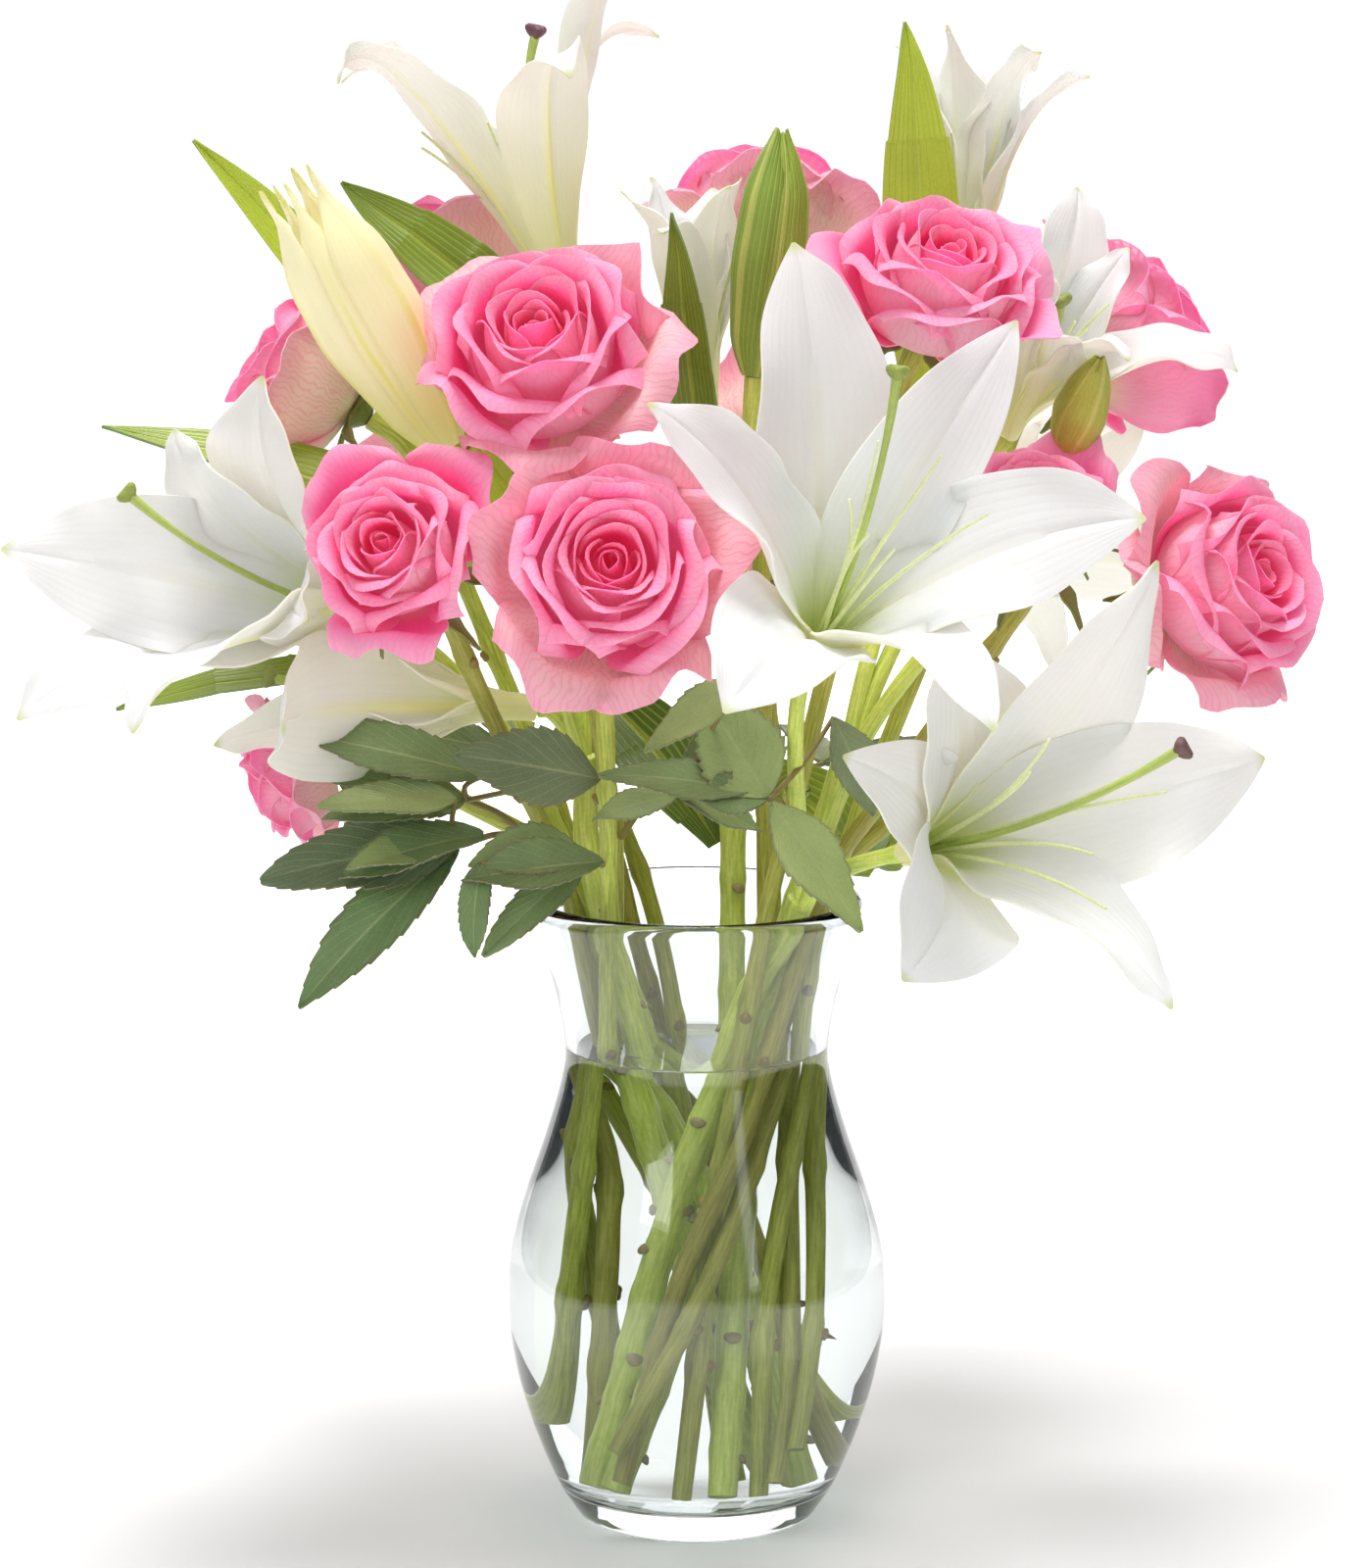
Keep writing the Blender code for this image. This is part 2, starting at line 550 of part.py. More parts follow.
def main():
    clear_scene()
    parts = new_collection("lilies_in_a_vase")
    cutters = new_collection("cutters")
    glass = material("clear_glass", GLASS, 0.03)
    clear_water = material("water", WATER, 0.02)
    pink = material("rose_petal", PINK, 0.55)
    white = material("lily_petal", WHITE, 0.50)
    green = material("stem_green", GREEN, 0.45)
    dark_green = material("rose_leaf", DARK_GREEN, 0.40)
    bud_green = material("bud_green", BUD_GREEN, 0.45)

    routes, radii, balls, names = [], [], [], []
    around = sorted(ROSES, key=lambda key: math.atan2(ROSES[key][0][1], ROSES[key][0][0]))
    for turn, key in enumerate(around):
        seat, facing, radius = ROSES[key]
        axis = Vector(facing).normalized()
        end = vec(seat) - axis * GAP * 2
        names.append("rose_stem_" + key)
        foot_ring = FOOT_RINGS[turn % len(FOOT_RINGS)]
        routes.append(stem_route(end, axis, NECK_ROSES, foot_ring, ROSE_STEM, 0.18))
        radii.append(ROSE_STEM)
        balls.append((len(names) - 1, vec(seat) + axis * radius * 0.75 * MM, radius * MM))
    for key, (fork, carried) in LILY_STEMS.items():
        names.append("lily_stem_" + key)
        routes.append(stem_route(vec(fork), Vector((0, 0, 1)), NECK_LILIES, FOOT_RINGS[1],
                                 LILY_STEM, 0.25))
        radii.append(LILY_STEM)
    stalks = {}
    for fork, carried in LILY_STEMS.values():
        for place, flower in enumerate(carried):
            kind, key = flower.split("_")
            seat, facing = (LILIES if kind == "lily" else BUDS)[key][:2]
            stalks[flower] = stalk_route(vec(fork), vec(seat), Vector(facing).normalized(), place)
    settled = settle(routes, radii, balls, list(stalks.values()))

    wet = []
    lines = {}
    for name, line, radius in zip(names, settled, radii):
        lines[name] = (line, radius)
        stem = tube(name, line, radius, green, parts)
        deep = [point for point in line if point.z < WATER_LEVEL + 30 * MM]
        lower = [deep[0] - (deep[1] - deep[0]).normalized() * 12 * MM] + deep[1:]
        room = cutter(tube("room_" + name, lower, (radius + 2 * GAP) / math.cos(math.pi / 6), None,
                           cutters, resolution=1))
        wet.append(room)
        if name.startswith("lily_stem_"):
            for flower in LILY_STEMS[name[-1]][1]:
                lines["stalk_" + flower] = (stalks[flower], STALK)
                stalk = tube("stalk_" + flower, stalks[flower], STALK, None, cutters)
                join(stem, stalk)

    build_vase(glass, parts)
    build_water(clear_water, parts, wet)
    for key, (seat, facing, radius) in ROSES.items():
        build_rose("rose_" + key, vec(seat), facing, radius * MM, pink, parts)
    for key, (seat, facing, throat, petals) in LILIES.items():
        sized = [(turn, lean, reach * MM, curl) for turn, lean, reach, curl in petals]
        build_lily("lily_" + key, vec(seat), facing, throat * MM, sized, white, parts)
    for key, (seat, facing, length, radius) in BUDS.items():
        build_bud("bud_" + key, vec(seat), facing, length * MM, radius * MM, bud_green, parts)
    for key, (holder, height, tip, width, bow, facing) in LILY_LEAVES.items():
        root = leave_stem(*lines[holder], height, vec(tip))
        build_blade("lily_leaf_" + key, root, vec(tip), width * MM, bow * MM, facing, green, parts)
    for key, (holder, height, end, leaflets) in ROSE_LEAVES.items():
        root = leave_stem(*lines[holder], height, vec(end))
        build_rose_leaf("rose_leaf_" + key, root, vec(end), leaflets, dark_green, parts, cutters)


main()
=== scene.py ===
# A clear glass vase of water with white lilies and pink roses.
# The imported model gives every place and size; this script gives the flowers, leaves, stems,
# glass and water their real shape and finish.  Lengths are metres, +Z is up, -Y is the front.
import math

import bmesh
import bpy
import numpy as np
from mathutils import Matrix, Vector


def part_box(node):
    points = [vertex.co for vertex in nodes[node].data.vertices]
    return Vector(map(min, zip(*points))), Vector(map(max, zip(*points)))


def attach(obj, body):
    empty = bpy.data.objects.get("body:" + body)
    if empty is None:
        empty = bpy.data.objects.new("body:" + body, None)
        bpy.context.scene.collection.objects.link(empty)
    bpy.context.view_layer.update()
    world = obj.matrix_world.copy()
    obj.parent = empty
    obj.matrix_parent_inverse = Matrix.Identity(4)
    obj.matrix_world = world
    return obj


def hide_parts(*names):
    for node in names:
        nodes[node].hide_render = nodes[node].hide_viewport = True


mm = 0.001
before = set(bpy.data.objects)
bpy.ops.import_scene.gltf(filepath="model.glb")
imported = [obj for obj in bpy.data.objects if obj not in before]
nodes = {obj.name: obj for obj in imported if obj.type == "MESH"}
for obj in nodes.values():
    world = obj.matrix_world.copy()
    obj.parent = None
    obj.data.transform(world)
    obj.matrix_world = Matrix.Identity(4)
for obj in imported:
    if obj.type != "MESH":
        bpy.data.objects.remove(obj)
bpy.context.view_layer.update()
print("frame loaded:", len(nodes), "nodes")


def unit(vector):
    vector = np.asarray(vector, float)
    return vector / max(np.linalg.norm(vector), 1e-12)


# columns are a flower's own axes: the first is as near to straight up as it can be, the third
# looks out of the flower
def flowerAxes(facing):
    axis = unit(facing)
    up = np.array((0.0, 0.0, 1.0))
    side = unit(up - axis * up.dot(axis))
    return np.stack((side, np.cross(axis, side), axis), axis=1)


def bezier(points, t):
    order = len(points) - 1
    t = np.asarray(t, float)[..., None]
    spot = 0
    for k, point in enumerate(points):
        spot = spot + np.asarray(point, float) * (math.comb(order, k) * t ** k * (1 - t) ** (order - k))
    return spot


def smoothstep(low, high, value):
    share = np.clip((value - low) / (high - low), 0, 1)
    return share * share * (3 - 2 * share)


# the same number of evenly spaced points on a smooth curve through the given ones
def resample(line, count):
    line = np.asarray(line, float)
    padded = np.vstack((2 * line[0] - line[1], line, 2 * line[-1] - line[-2]))
    fine = []
    for a, b, c, d in zip(padded, padded[1:], padded[2:], padded[3:]):
        for t in np.linspace(0, 1, 12, endpoint=False):
            fine.append(0.5 * (2 * b + (c - a) * t + (2 * a - 5 * b + 4 * c - d) * t * t
                               + (3 * b - a - 3 * c + d) * t ** 3))
    fine = np.array(fine + [line[-1]])
    gone = np.concatenate(([0], np.cumsum(np.linalg.norm(np.diff(fine, axis=0), axis=1))))
    wanted = np.linspace(0, gone[-1], count)
    return np.stack([np.interp(wanted, gone, fine[:, k]) for k in range(3)], axis=1)


def unitRows(vectors):
    return vectors / np.linalg.norm(vectors, axis=1, keepdims=True)


# a sheet's two shares: 0 to 1 along its rows, -1 to 1 across its columns
def sheetShares(rows, cols):
    return np.linspace(0, 1, rows)[:, None], np.linspace(-1, 1, cols)[None, :]


# a sheet's sideways and lifted parts, turned about its line
def twisted(side, lift, twist):
    return side * np.cos(twist) - lift * np.sin(twist), side * np.sin(twist) + lift * np.cos(twist)


# a sheet turned about its flower's axis
def turnedSheet(out, side, high, turn):
    cos, sin = math.cos(turn), math.sin(turn)
    return np.stack((out * cos - side * sin, out * sin + side * cos, high), axis=2)


# the middle of a node's lowest end, seen along the way it faces
def seatOf(points, axis, depth):
    reach = points @ axis
    return points[reach < reach.min() + depth].mean(axis=0)


def gridNormals(points):
    across = np.gradient(points, axis=1)
    along = np.gradient(points, axis=0)
    normal = np.cross(across, along)
    return normal / np.maximum(np.linalg.norm(normal, axis=2, keepdims=True), 1e-12)


# a piece in the making: grids of points, each with its map, its finish and two values per point
def newPiece():
    return {"verts": [], "faces": [], "maps": [], "finish": [], "layer": [], "tint": [], "count": 0}


def addGrid(piece, points, maps, finish, layer=0.0, tint=0.5, flip=False):
    rows, cols = points.shape[:2]
    start = piece["count"]
    index = start + np.arange(rows * cols).reshape(rows, cols)
    corners = [index[:-1, :-1], index[:-1, 1:], index[1:, 1:], index[1:, :-1]]
    if flip:
        corners.reverse()
    quads = np.stack(corners, axis=2).reshape(-1, 4)
    piece["verts"].append(points.reshape(-1, 3))
    piece["maps"].append(np.broadcast_to(maps, (rows, cols, 2)).reshape(-1, 2))
    piece["faces"].append(quads)
    piece["finish"].append(np.full(len(quads), finish))
    piece["layer"].append(np.full(rows * cols, layer, float))
    piece["tint"].append(np.full(rows * cols, tint, float))
    piece["count"] += rows * cols


def evenMap(rows, cols):
    across, along = np.meshgrid(np.linspace(0, 1, cols), np.linspace(0, 1, rows))
    return np.stack((across, along), axis=2)


# a thin closed sheet: its upper side, its underside and the strip round its edge
def addSheet(piece, points, thick, finishes, layer=0.0, tint=0.5):
    maps = evenMap(*points.shape[:2])
    depth = np.asarray(thick) * 0.5
    half = gridNormals(points) * depth.reshape(depth.shape + (1,) * (3 - depth.ndim))
    top = points + half
    under = points - half
    addGrid(piece, top, maps, finishes[0], layer, tint)
    addGrid(piece, under, maps, finishes[1], layer, tint, flip=True)
    rims = ((top[0], under[0], maps[0], True), (top[-1], under[-1], maps[-1], False),
            (top[:, 0], under[:, 0], maps[:, 0], False), (top[:, -1], under[:, -1], maps[:, -1], True))
    for upper, lower, edge, flip in rims:
        addGrid(piece, np.stack((upper, lower)), np.stack((edge, edge)), finishes[1], layer, tint,
                flip=flip)


# frames that follow a line without twisting
def lineFrames(line):
    forward = np.gradient(line, axis=0)
    forward /= np.maximum(np.linalg.norm(forward, axis=1, keepdims=True), 1e-12)
    start = np.array((1.0, 0, 0)) if abs(forward[0][0]) < 0.8 else np.array((0, 1.0, 0))
    side = unit(start - forward[0] * start.dot(forward[0]))
    sides = []
    for way in forward:
        side = unit(side - way * side.dot(way))
        sides.append(side)
    sides = np.array(sides)
    return forward, sides, np.cross(forward, sides)


# a round closed tube; radii has one value for each point of the line, or one for each point and
# each way round it, and the ends are domed
def addTube(piece, line, radii, finish, around=12, layer=0.0, tint=0.5, dome=0.35):
    line = np.asarray(line, float)
    radii = np.broadcast_to(np.asarray(radii, float).reshape(len(line), -1), (len(line), around + 1))
    forward, side, other = lineFrames(line)
    turn = np.linspace(0, 2 * math.pi, around + 1)
    turn[-1] = 0
    ring = (side[:, None] * np.cos(turn)[None, :, None] + other[:, None] * np.sin(turn)[None, :, None])
    body = line[:, None] + ring * radii[:, :, None]
    lowCap = [line[0] - forward[0] * radii[0].mean() * dome * (1 - k * k)
              + ring[0] * radii[0][:, None] * k for k in (0.0, 0.55, 0.85)]
    highCap = [line[-1] + forward[-1] * radii[-1].mean() * dome * (1 - k * k)
               + ring[-1] * radii[-1][:, None] * k for k in (0.85, 0.55, 0.0)]
    points = np.concatenate((np.array(lowCap), body, np.array(highCap)))
    long = np.concatenate(([0], np.cumsum(np.linalg.norm(np.diff(line, axis=0), axis=1))))
    along = np.concatenate(([0] * 3, long, [long[-1]] * 3))
    maps = np.stack(np.broadcast_arrays(np.linspace(0, 1, around + 1)[None], along[:, None]), axis=2)
    addGrid(piece, points, maps, finish, layer, tint)


# a turned closed shape from (radius, height) points, top first, in its own axes
def addTurned(piece, profile, steps, finish, layer=0.0, tint=0.5, place=None):
    profile = np.asarray(profile, float)
    turn = np.linspace(0, 2 * math.pi, steps + 1)
    turn[-1] = 0
    points = np.stack((profile[:, 0, None] * np.cos(turn), profile[:, 0, None] * np.sin(turn),
                       np.broadcast_to(profile[:, 1, None], (len(profile), steps + 1))), axis=2)
    if place:
        points = points @ place[1].T + place[0]
    addGrid(piece, points, evenMap(len(profile), steps + 1), finish, layer, tint, flip=True)


# one welded, smooth mesh object, with its place in its mesh
def makeObject(name, piece, finishes, sharpAngle=55):
    mesh = bpy.data.meshes.new(name)
    faces = np.concatenate(piece["faces"])
    mesh.from_pydata(np.concatenate(piece["verts"]).tolist(), [], faces.tolist())
    maps = np.concatenate(piece["maps"])
    mesh.uv_layers.new(name="UVMap").data.foreach_set("uv", maps[faces.ravel()].astype(np.float32).ravel())
    for key in ("layer", "tint"):
        values = np.concatenate(piece[key]).astype(np.float32)
        mesh.attributes.new(key, "FLOAT", "POINT").data.foreach_set("value", values)
    mesh.polygons.foreach_set("material_index", np.concatenate(piece["finish"]).astype(np.int32))
    for finish in finishes:
        mesh.materials.append(finish)
    work = bmesh.new()
    work.from_mesh(mesh)
    bmesh.ops.remove_doubles(work, verts=work.verts, dist=0.000002)
    bmesh.ops.dissolve_degenerate(work, edges=work.edges, dist=0.0000005)
    work.to_mesh(mesh)
    work.free()
    mesh.shade_smooth()
    mesh.set_sharp_from_angle(angle=math.radians(sharpAngle))
    obj = bpy.data.objects.new(name, mesh)
    bpy.context.scene.collection.objects.link(obj)
    return obj


# a finished piece rides with the vase and stands for its CAD nodes, which it hides
def finishPiece(obj, slot, *cadNodes):
    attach(obj, "root")
    if cadNodes:
        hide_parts(*cadNodes)
    return obj


# gives a socket a value or a link
def feed(tree, socket, value):
    if isinstance(value, bpy.types.NodeSocket):
        tree.links.new(value, socket)
    else:
        socket.default_value = value


# adds a node to a tree, sets its properties and joins or fills its inputs
def addNode(tree, kind, inputs=None, **settings):
    node = tree.nodes.new(kind)
    for key, value in settings.items():
        setattr(node, key, value)
    for key, value in (inputs or {}).items():
        feed(tree, node.inputs[key], value)
    return node


# a node group; an input's kind follows from its value, or from its name where it has none
def newTree(kind, name, inputs, outputs):
    tree = bpy.data.node_groups.new(name, kind)
    kinds = {tuple: "NodeSocketVector", float: "NodeSocketFloat", int: "NodeSocketInt"}
    for label, value in inputs.items():
        socketKind = kinds.get(type(value), "NodeSocket" + label)
        socket = tree.interface.new_socket(name=label, in_out="INPUT", socket_type=socketKind)
        if value is not None:
            socket.default_value = value
    for label in outputs:
        socketKind = "NodeSocketGeometry" if label == "Geometry" else "NodeSocketFloat"
        tree.interface.new_socket(name=label, in_out="OUTPUT", socket_type=socketKind)
    given = tree.nodes.new("NodeGroupInput").outputs
    return tree, given, tree.nodes.new("NodeGroupOutput").inputs


def mathNode(tree, operation, *values):
    return addNode(tree, "ShaderNodeMath", dict(enumerate(values)), operation=operation).outputs[0]


def times(tree, first, second):
    return mathNode(tree, "MULTIPLY", first, second)


def noiseNode(tree, vector, scale, detail):
    return addNode(tree, "ShaderNodeTexNoise",
                   {"Vector": vector, "Scale": scale, "Detail": detail}).outputs[0]


# how far a value lies from one half, on either side
def offCentre(tree, value):
    return mathNode(tree, "ABSOLUTE", mathNode(tree, "SUBTRACT", value, 0.5))


def ramp(tree, value, low, high, lowOut=0.0, highOut=1.0):
    return addNode(tree, "ShaderNodeMapRange", {0: value, 1: low, 2: high, 3: lowOut, 4: highOut},
                   interpolation_type="SMOOTHSTEP").outputs[0]


def mixColour(tree, share, first, second):
    if not isinstance(first, bpy.types.NodeSocket):
        first = (*first, 1)
    if not isinstance(second, bpy.types.NodeSocket):
        second = (*second, 1)
    return addNode(tree, "ShaderNodeMix", {0: share, 6: first, 7: second}, data_type="RGBA").outputs[2]


# a colour as it looks on screen, 0 to 255, as a linear one
def seen(red, green, blue):
    shares = [channel / 255 for channel in (red, green, blue)]
    return tuple(share / 12.92 if share < 0.04045 else ((share + 0.055) / 1.055) ** 2.4
                 for share in shares)


# soft patches of lighter and darker tissue, with a fine grain over them
def tissueGroup():
    tree, given, out = newTree("ShaderNodeTree", "Tissue",
                               {"Vector": (0, 0, 0), "Patch Scale": 60.0, "Grain Scale": 900.0, "Patch": 0.12,
                                "Grain": 0.05}, ("Shade", "Height"))
    shares = []
    for label, detail in (("Patch", 3.0), ("Grain", 2.0)):
        noise = noiseNode(tree, given["Vector"], given[label + " Scale"], detail)
        shares.append(times(tree, mathNode(tree, "SUBTRACT", noise, 0.5), given[label]))
    both = mathNode(tree, "ADD", *shares)
    tree.links.new(mathNode(tree, "ADD", both, 1.0), out["Shade"])
    tree.links.new(noise, out["Height"])
    return tree


# fine veins that run the length of a petal or blade and fan out a little, from the piece's map
def veinGroup():
    tree, given, out = newTree("ShaderNodeTree", "Veins",
                               {"Map": (0, 0, 0), "Count": 30.0, "Wander": 0.02, "Sharpness": 3.0},
                               ("Vein", "Middle"))
    warp = noiseNode(tree, given["Map"], 7.0, 2.0)
    parts = addNode(tree, "ShaderNodeSeparateXYZ", {0: given["Map"]})
    shift = times(tree, mathNode(tree, "SUBTRACT", warp, 0.5), given["Wander"])
    across = mathNode(tree, "ADD", parts.outputs["X"], shift)
    wave = mathNode(tree, "COSINE", times(tree, times(tree, across, math.tau), given["Count"]))
    high = mathNode(tree, "MULTIPLY_ADD", wave, 0.5, 0.5)
    tree.links.new(mathNode(tree, "POWER", high, given["Sharpness"]), out["Vein"])
    tree.links.new(ramp(tree, offCentre(tree, across), 0.0, 0.09, 1.0, 0.0), out["Middle"])
    return tree


# side veins that leave a midrib at a slant, from the piece's map
def featherGroup():
    tree, given, out = newTree("ShaderNodeTree", "Feather Veins",
                               {"Map": (0, 0, 0), "Count": 8.0, "Slant": 0.9, "Width": 0.16},
                               ("Vein", "Middle", "Net"))
    parts = addNode(tree, "ShaderNodeSeparateXYZ", {0: given["Map"]})
    off = offCentre(tree, parts.outputs["X"])
    slant = times(tree, mathNode(tree, "POWER", off, 0.8), given["Slant"])
    slanted = mathNode(tree, "SUBTRACT", parts.outputs["Y"], slant)
    side = times(tree, mathNode(tree, "GREATER_THAN", parts.outputs["X"], 0.5), 0.45)
    turns = mathNode(tree, "ADD", times(tree, slanted, given["Count"]), side)
    saw = offCentre(tree, mathNode(tree, "FRACT", turns))
    tree.links.new(ramp(tree, saw, 0.0, given["Width"], 1.0, 0.0), out["Vein"])
    tree.links.new(ramp(tree, off, 0.0, 0.035, 1.0, 0.0), out["Middle"])
    cells = addNode(tree, "ShaderNodeTexVoronoi", {"Vector": given["Map"], "Scale": 34.0},
                    feature="DISTANCE_TO_EDGE")
    tree.links.new(ramp(tree, cells.outputs[0], 0.0, 0.12, 1.0, 0.0), out["Net"])
    return tree


tissue = tissueGroup()
veins = veinGroup()
feather = featherGroup()


# an empty material with its tree, its shader, object coordinates and the piece's map
def newFinish(name):
    finish = bpy.data.materials.new(name)
    finish.use_nodes = True
    tree = finish.node_tree
    tree.nodes.clear()
    shader = tree.nodes.new("ShaderNodeBsdfPrincipled")
    out = tree.nodes.new("ShaderNodeOutputMaterial")
    tree.links.new(shader.outputs[0], out.inputs[0])
    place = tree.nodes.new("ShaderNodeTexCoord").outputs["Object"]
    maps = addNode(tree, "ShaderNodeUVMap", uv_map="UVMap").outputs[0]
    return finish, tree, shader, place, maps


def attribute(tree, name):
    return addNode(tree, "ShaderNodeAttribute", attribute_name=name).outputs["Fac"]


def groupNode(tree, group, inputs):
    return addNode(tree, "ShaderNodeGroup", inputs, node_tree=group).outputs


# the shade and grain of a plant's flesh
def softTissue(tree, place, patch, grain, patchScale, grainScale):
    return groupNode(tree, tissue, {"Vector": place, "Patch": patch, "Grain": grain,
                                    "Patch Scale": patchScale, "Grain Scale": grainScale})


def lineVeins(tree, maps, count, wander, sharpness):
    return groupNode(tree, veins, {"Map": maps, "Count": count, "Wander": wander, "Sharpness": sharpness})


def join(tree, output, shader, key):
    tree.links.new(output, shader.inputs[key])


def addBump(tree, shader, height, strength, distance):
    bump = addNode(tree, "ShaderNodeBump", {"Strength": strength, "Distance": distance, "Height": height})
    join(tree, bump.outputs[0], shader, "Normal")


# gives a shader its colour, shaded by its tissue, and its constants; where an emission strength is given,
# the surface also glows in that colour, a painted glow that stands in for light through it
def coat(tree, shader, colour, soft, settings):
    shaded = addNode(tree, "ShaderNodeHueSaturation", {"Color": colour, "Value": soft["Shade"]}).outputs[0]
    join(tree, shaded, shader, "Base Color")
    if "Emission Strength" in settings:
        join(tree, shaded, shader, "Emission Color")
    for key, value in settings.items():
        shader.inputs[key].default_value = value


# a rose petal: pale green claw, body colour, a lighter rolled rim, veins and velvet, and a painted glow
# in its own colour that stands in for light through the petal; "layer" runs from the heart to the outer
# petals and "tint" differs from petal to petal
def rosePetalFinish(name, look):
    finish, tree, shader, place, maps = newFinish(name)
    parts = addNode(tree, "ShaderNodeSeparateXYZ", {0: maps}).outputs
    soft = softTissue(tree, place, look["patch"], 0.10, 90.0, 1600.0)
    vein = lineVeins(tree, maps, 22.0, 0.16, 4.0)
    body = mixColour(tree, attribute(tree, "tint"), look["deep"], look["light"])
    heart = mixColour(tree, ramp(tree, attribute(tree, "layer"), 0.0, 0.55), look["heart"], body)
    rim = mixColour(tree, ramp(tree, parts["Y"], 0.70, 1.0, 0.0, look["rimShare"]), heart, look["rim"])
    claw = mixColour(tree, ramp(tree, parts["Y"], 0.0, 0.34, 1.0, 0.0), rim, look["claw"])
    edge = offCentre(tree, parts["X"])
    sideEdge = mixColour(tree, ramp(tree, edge, 0.34, 0.5, 0.0, look["sideShare"]), claw, look["rim"])
    veined = mixColour(tree, times(tree, vein["Vein"], look["veinShare"]), sideEdge, look["vein"])
    # the emission is a painted glow in the petal's own colour that stands in for light through it
    coat(tree, shader, veined, soft, {
        "Emission Strength": look["through"], "Roughness": 0.58, "Specular IOR Level": 0.28,
        "Subsurface Weight": look["glow"], "Subsurface Radius": (1.0, 0.34, 0.50), "Subsurface Scale": 0.006,
        "Sheen Weight": 0.10, "Sheen Roughness": 0.4, "Sheen Tint": (1.0, 0.80, 0.88, 1)})
    height = mathNode(tree, "ADD", times(tree, vein["Vein"], 0.6), times(tree, soft["Height"], 0.5))
    addBump(tree, shader, height, 0.35, 0.0004)
    return finish


# a lily tepal: white with grooves, green-yellow throat, green tip; the back keeps a cream midrib; both
# sides carry a painted glow in their own colour that stands in for light through the tepal
def tepalFinish(name, look):
    finish, tree, shader, place, maps = newFinish(name)
    along = addNode(tree, "ShaderNodeSeparateXYZ", {0: maps}).outputs["Y"]
    soft = softTissue(tree, place, 0.05, 0.05, 40.0, 1300.0)
    vein = lineVeins(tree, maps, 15.0, 0.05, 2.0)
    body = mixColour(tree, attribute(tree, "tint"), look["cool"], look["warm"])
    rib = times(tree, vein["Middle"], ramp(tree, along, 0.85, 0.30, 0.0, look["ribShare"]))
    ribbed = mixColour(tree, rib, body, look["rib"])
    throat = mixColour(tree, ramp(tree, along, look["throatEnd"], 0.05, 0.0, look["throatShare"]), ribbed,
                       look["throat"])
    tip = mixColour(tree, ramp(tree, along, 0.955, 1.0, 0.0, 0.85), throat, look["tip"])
    veined = mixColour(tree, times(tree, vein["Vein"], 0.05), tip, look["groove"])
    # the emission is a painted glow in the tepal's own colour that stands in for light through it
    coat(tree, shader, veined, soft, {
        "Emission Strength": look["through"], "Roughness": 0.46, "Specular IOR Level": 0.38,
        "Subsurface Weight": 0.45, "Subsurface Radius": (1.0, 0.95, 0.78), "Subsurface Scale": 0.006,
        "Sheen Weight": 0.08})
    height = mathNode(tree, "SUBTRACT", times(tree, soft["Height"], 0.4), times(tree, vein["Vein"], 1.0))
    addBump(tree, shader, height, 0.14, 0.0005)
    return finish


# a long blade with parallel veins
def bladeFinish(name, look):
    finish, tree, shader, place, maps = newFinish(name)
    soft = softTissue(tree, place, 0.5, 0.22, 45.0, 1100.0)
    vein = lineVeins(tree, maps, 11.0, 0.015, 5.0)
    body = mixColour(tree, attribute(tree, "tint"), look["dark"], look["light"])
    ribbed = mixColour(tree, times(tree, vein["Middle"], 0.5), body, look["rib"])
    veined = mixColour(tree, times(tree, vein["Vein"], 0.30), ribbed, look["rib"])
    coat(tree, shader, veined, soft, {
        "Roughness": look["roughness"], "Specular IOR Level": 0.5, "Subsurface Weight": 0.08,
        "Subsurface Radius": (0.5, 1.0, 0.2), "Subsurface Scale": 0.001})
    height = mathNode(tree, "SUBTRACT", times(tree, soft["Height"], 0.25), times(tree, vein["Vein"], 1.0))
    addBump(tree, shader, height, 0.45, 0.0005)
    return finish


# a rose leaflet with slanting side veins, a fine net between them and a red-brown margin
def leafletFinish(name, look):
    finish, tree, shader, place, maps = newFinish(name)
    across = addNode(tree, "ShaderNodeSeparateXYZ", {0: maps}).outputs["X"]
    soft = softTissue(tree, place, 0.55, 0.25, 70.0, 1200.0)
    vein = groupNode(tree, feather, {"Map": maps, "Count": 9.0, "Slant": 0.75, "Width": 0.11})
    body = mixColour(tree, attribute(tree, "tint"), look["dark"], look["light"])
    edge = offCentre(tree, across)
    margin = mixColour(tree, ramp(tree, edge, 0.43, 0.5, 0.0, look["marginShare"]), body, look["margin"])
    sides = mixColour(tree, times(tree, vein["Vein"], look["veinShare"]), margin, look["rib"])
    netted = mixColour(tree, times(tree, vein["Net"], 0.16), sides, look["rib"])
    ribbed = mixColour(tree, times(tree, vein["Middle"], 0.7), netted, look["rib"])
    coat(tree, shader, ribbed, soft, {
        "Roughness": look["roughness"], "Specular IOR Level": 0.42, "Subsurface Weight": 0.06,
        "Subsurface Radius": (0.5, 1.0, 0.2), "Subsurface Scale": 0.001})
    lines = mathNode(tree, "ADD", vein["Vein"], times(tree, vein["Net"], 0.5))
    addBump(tree, shader, lines, 0.45, 0.0006)
    return finish


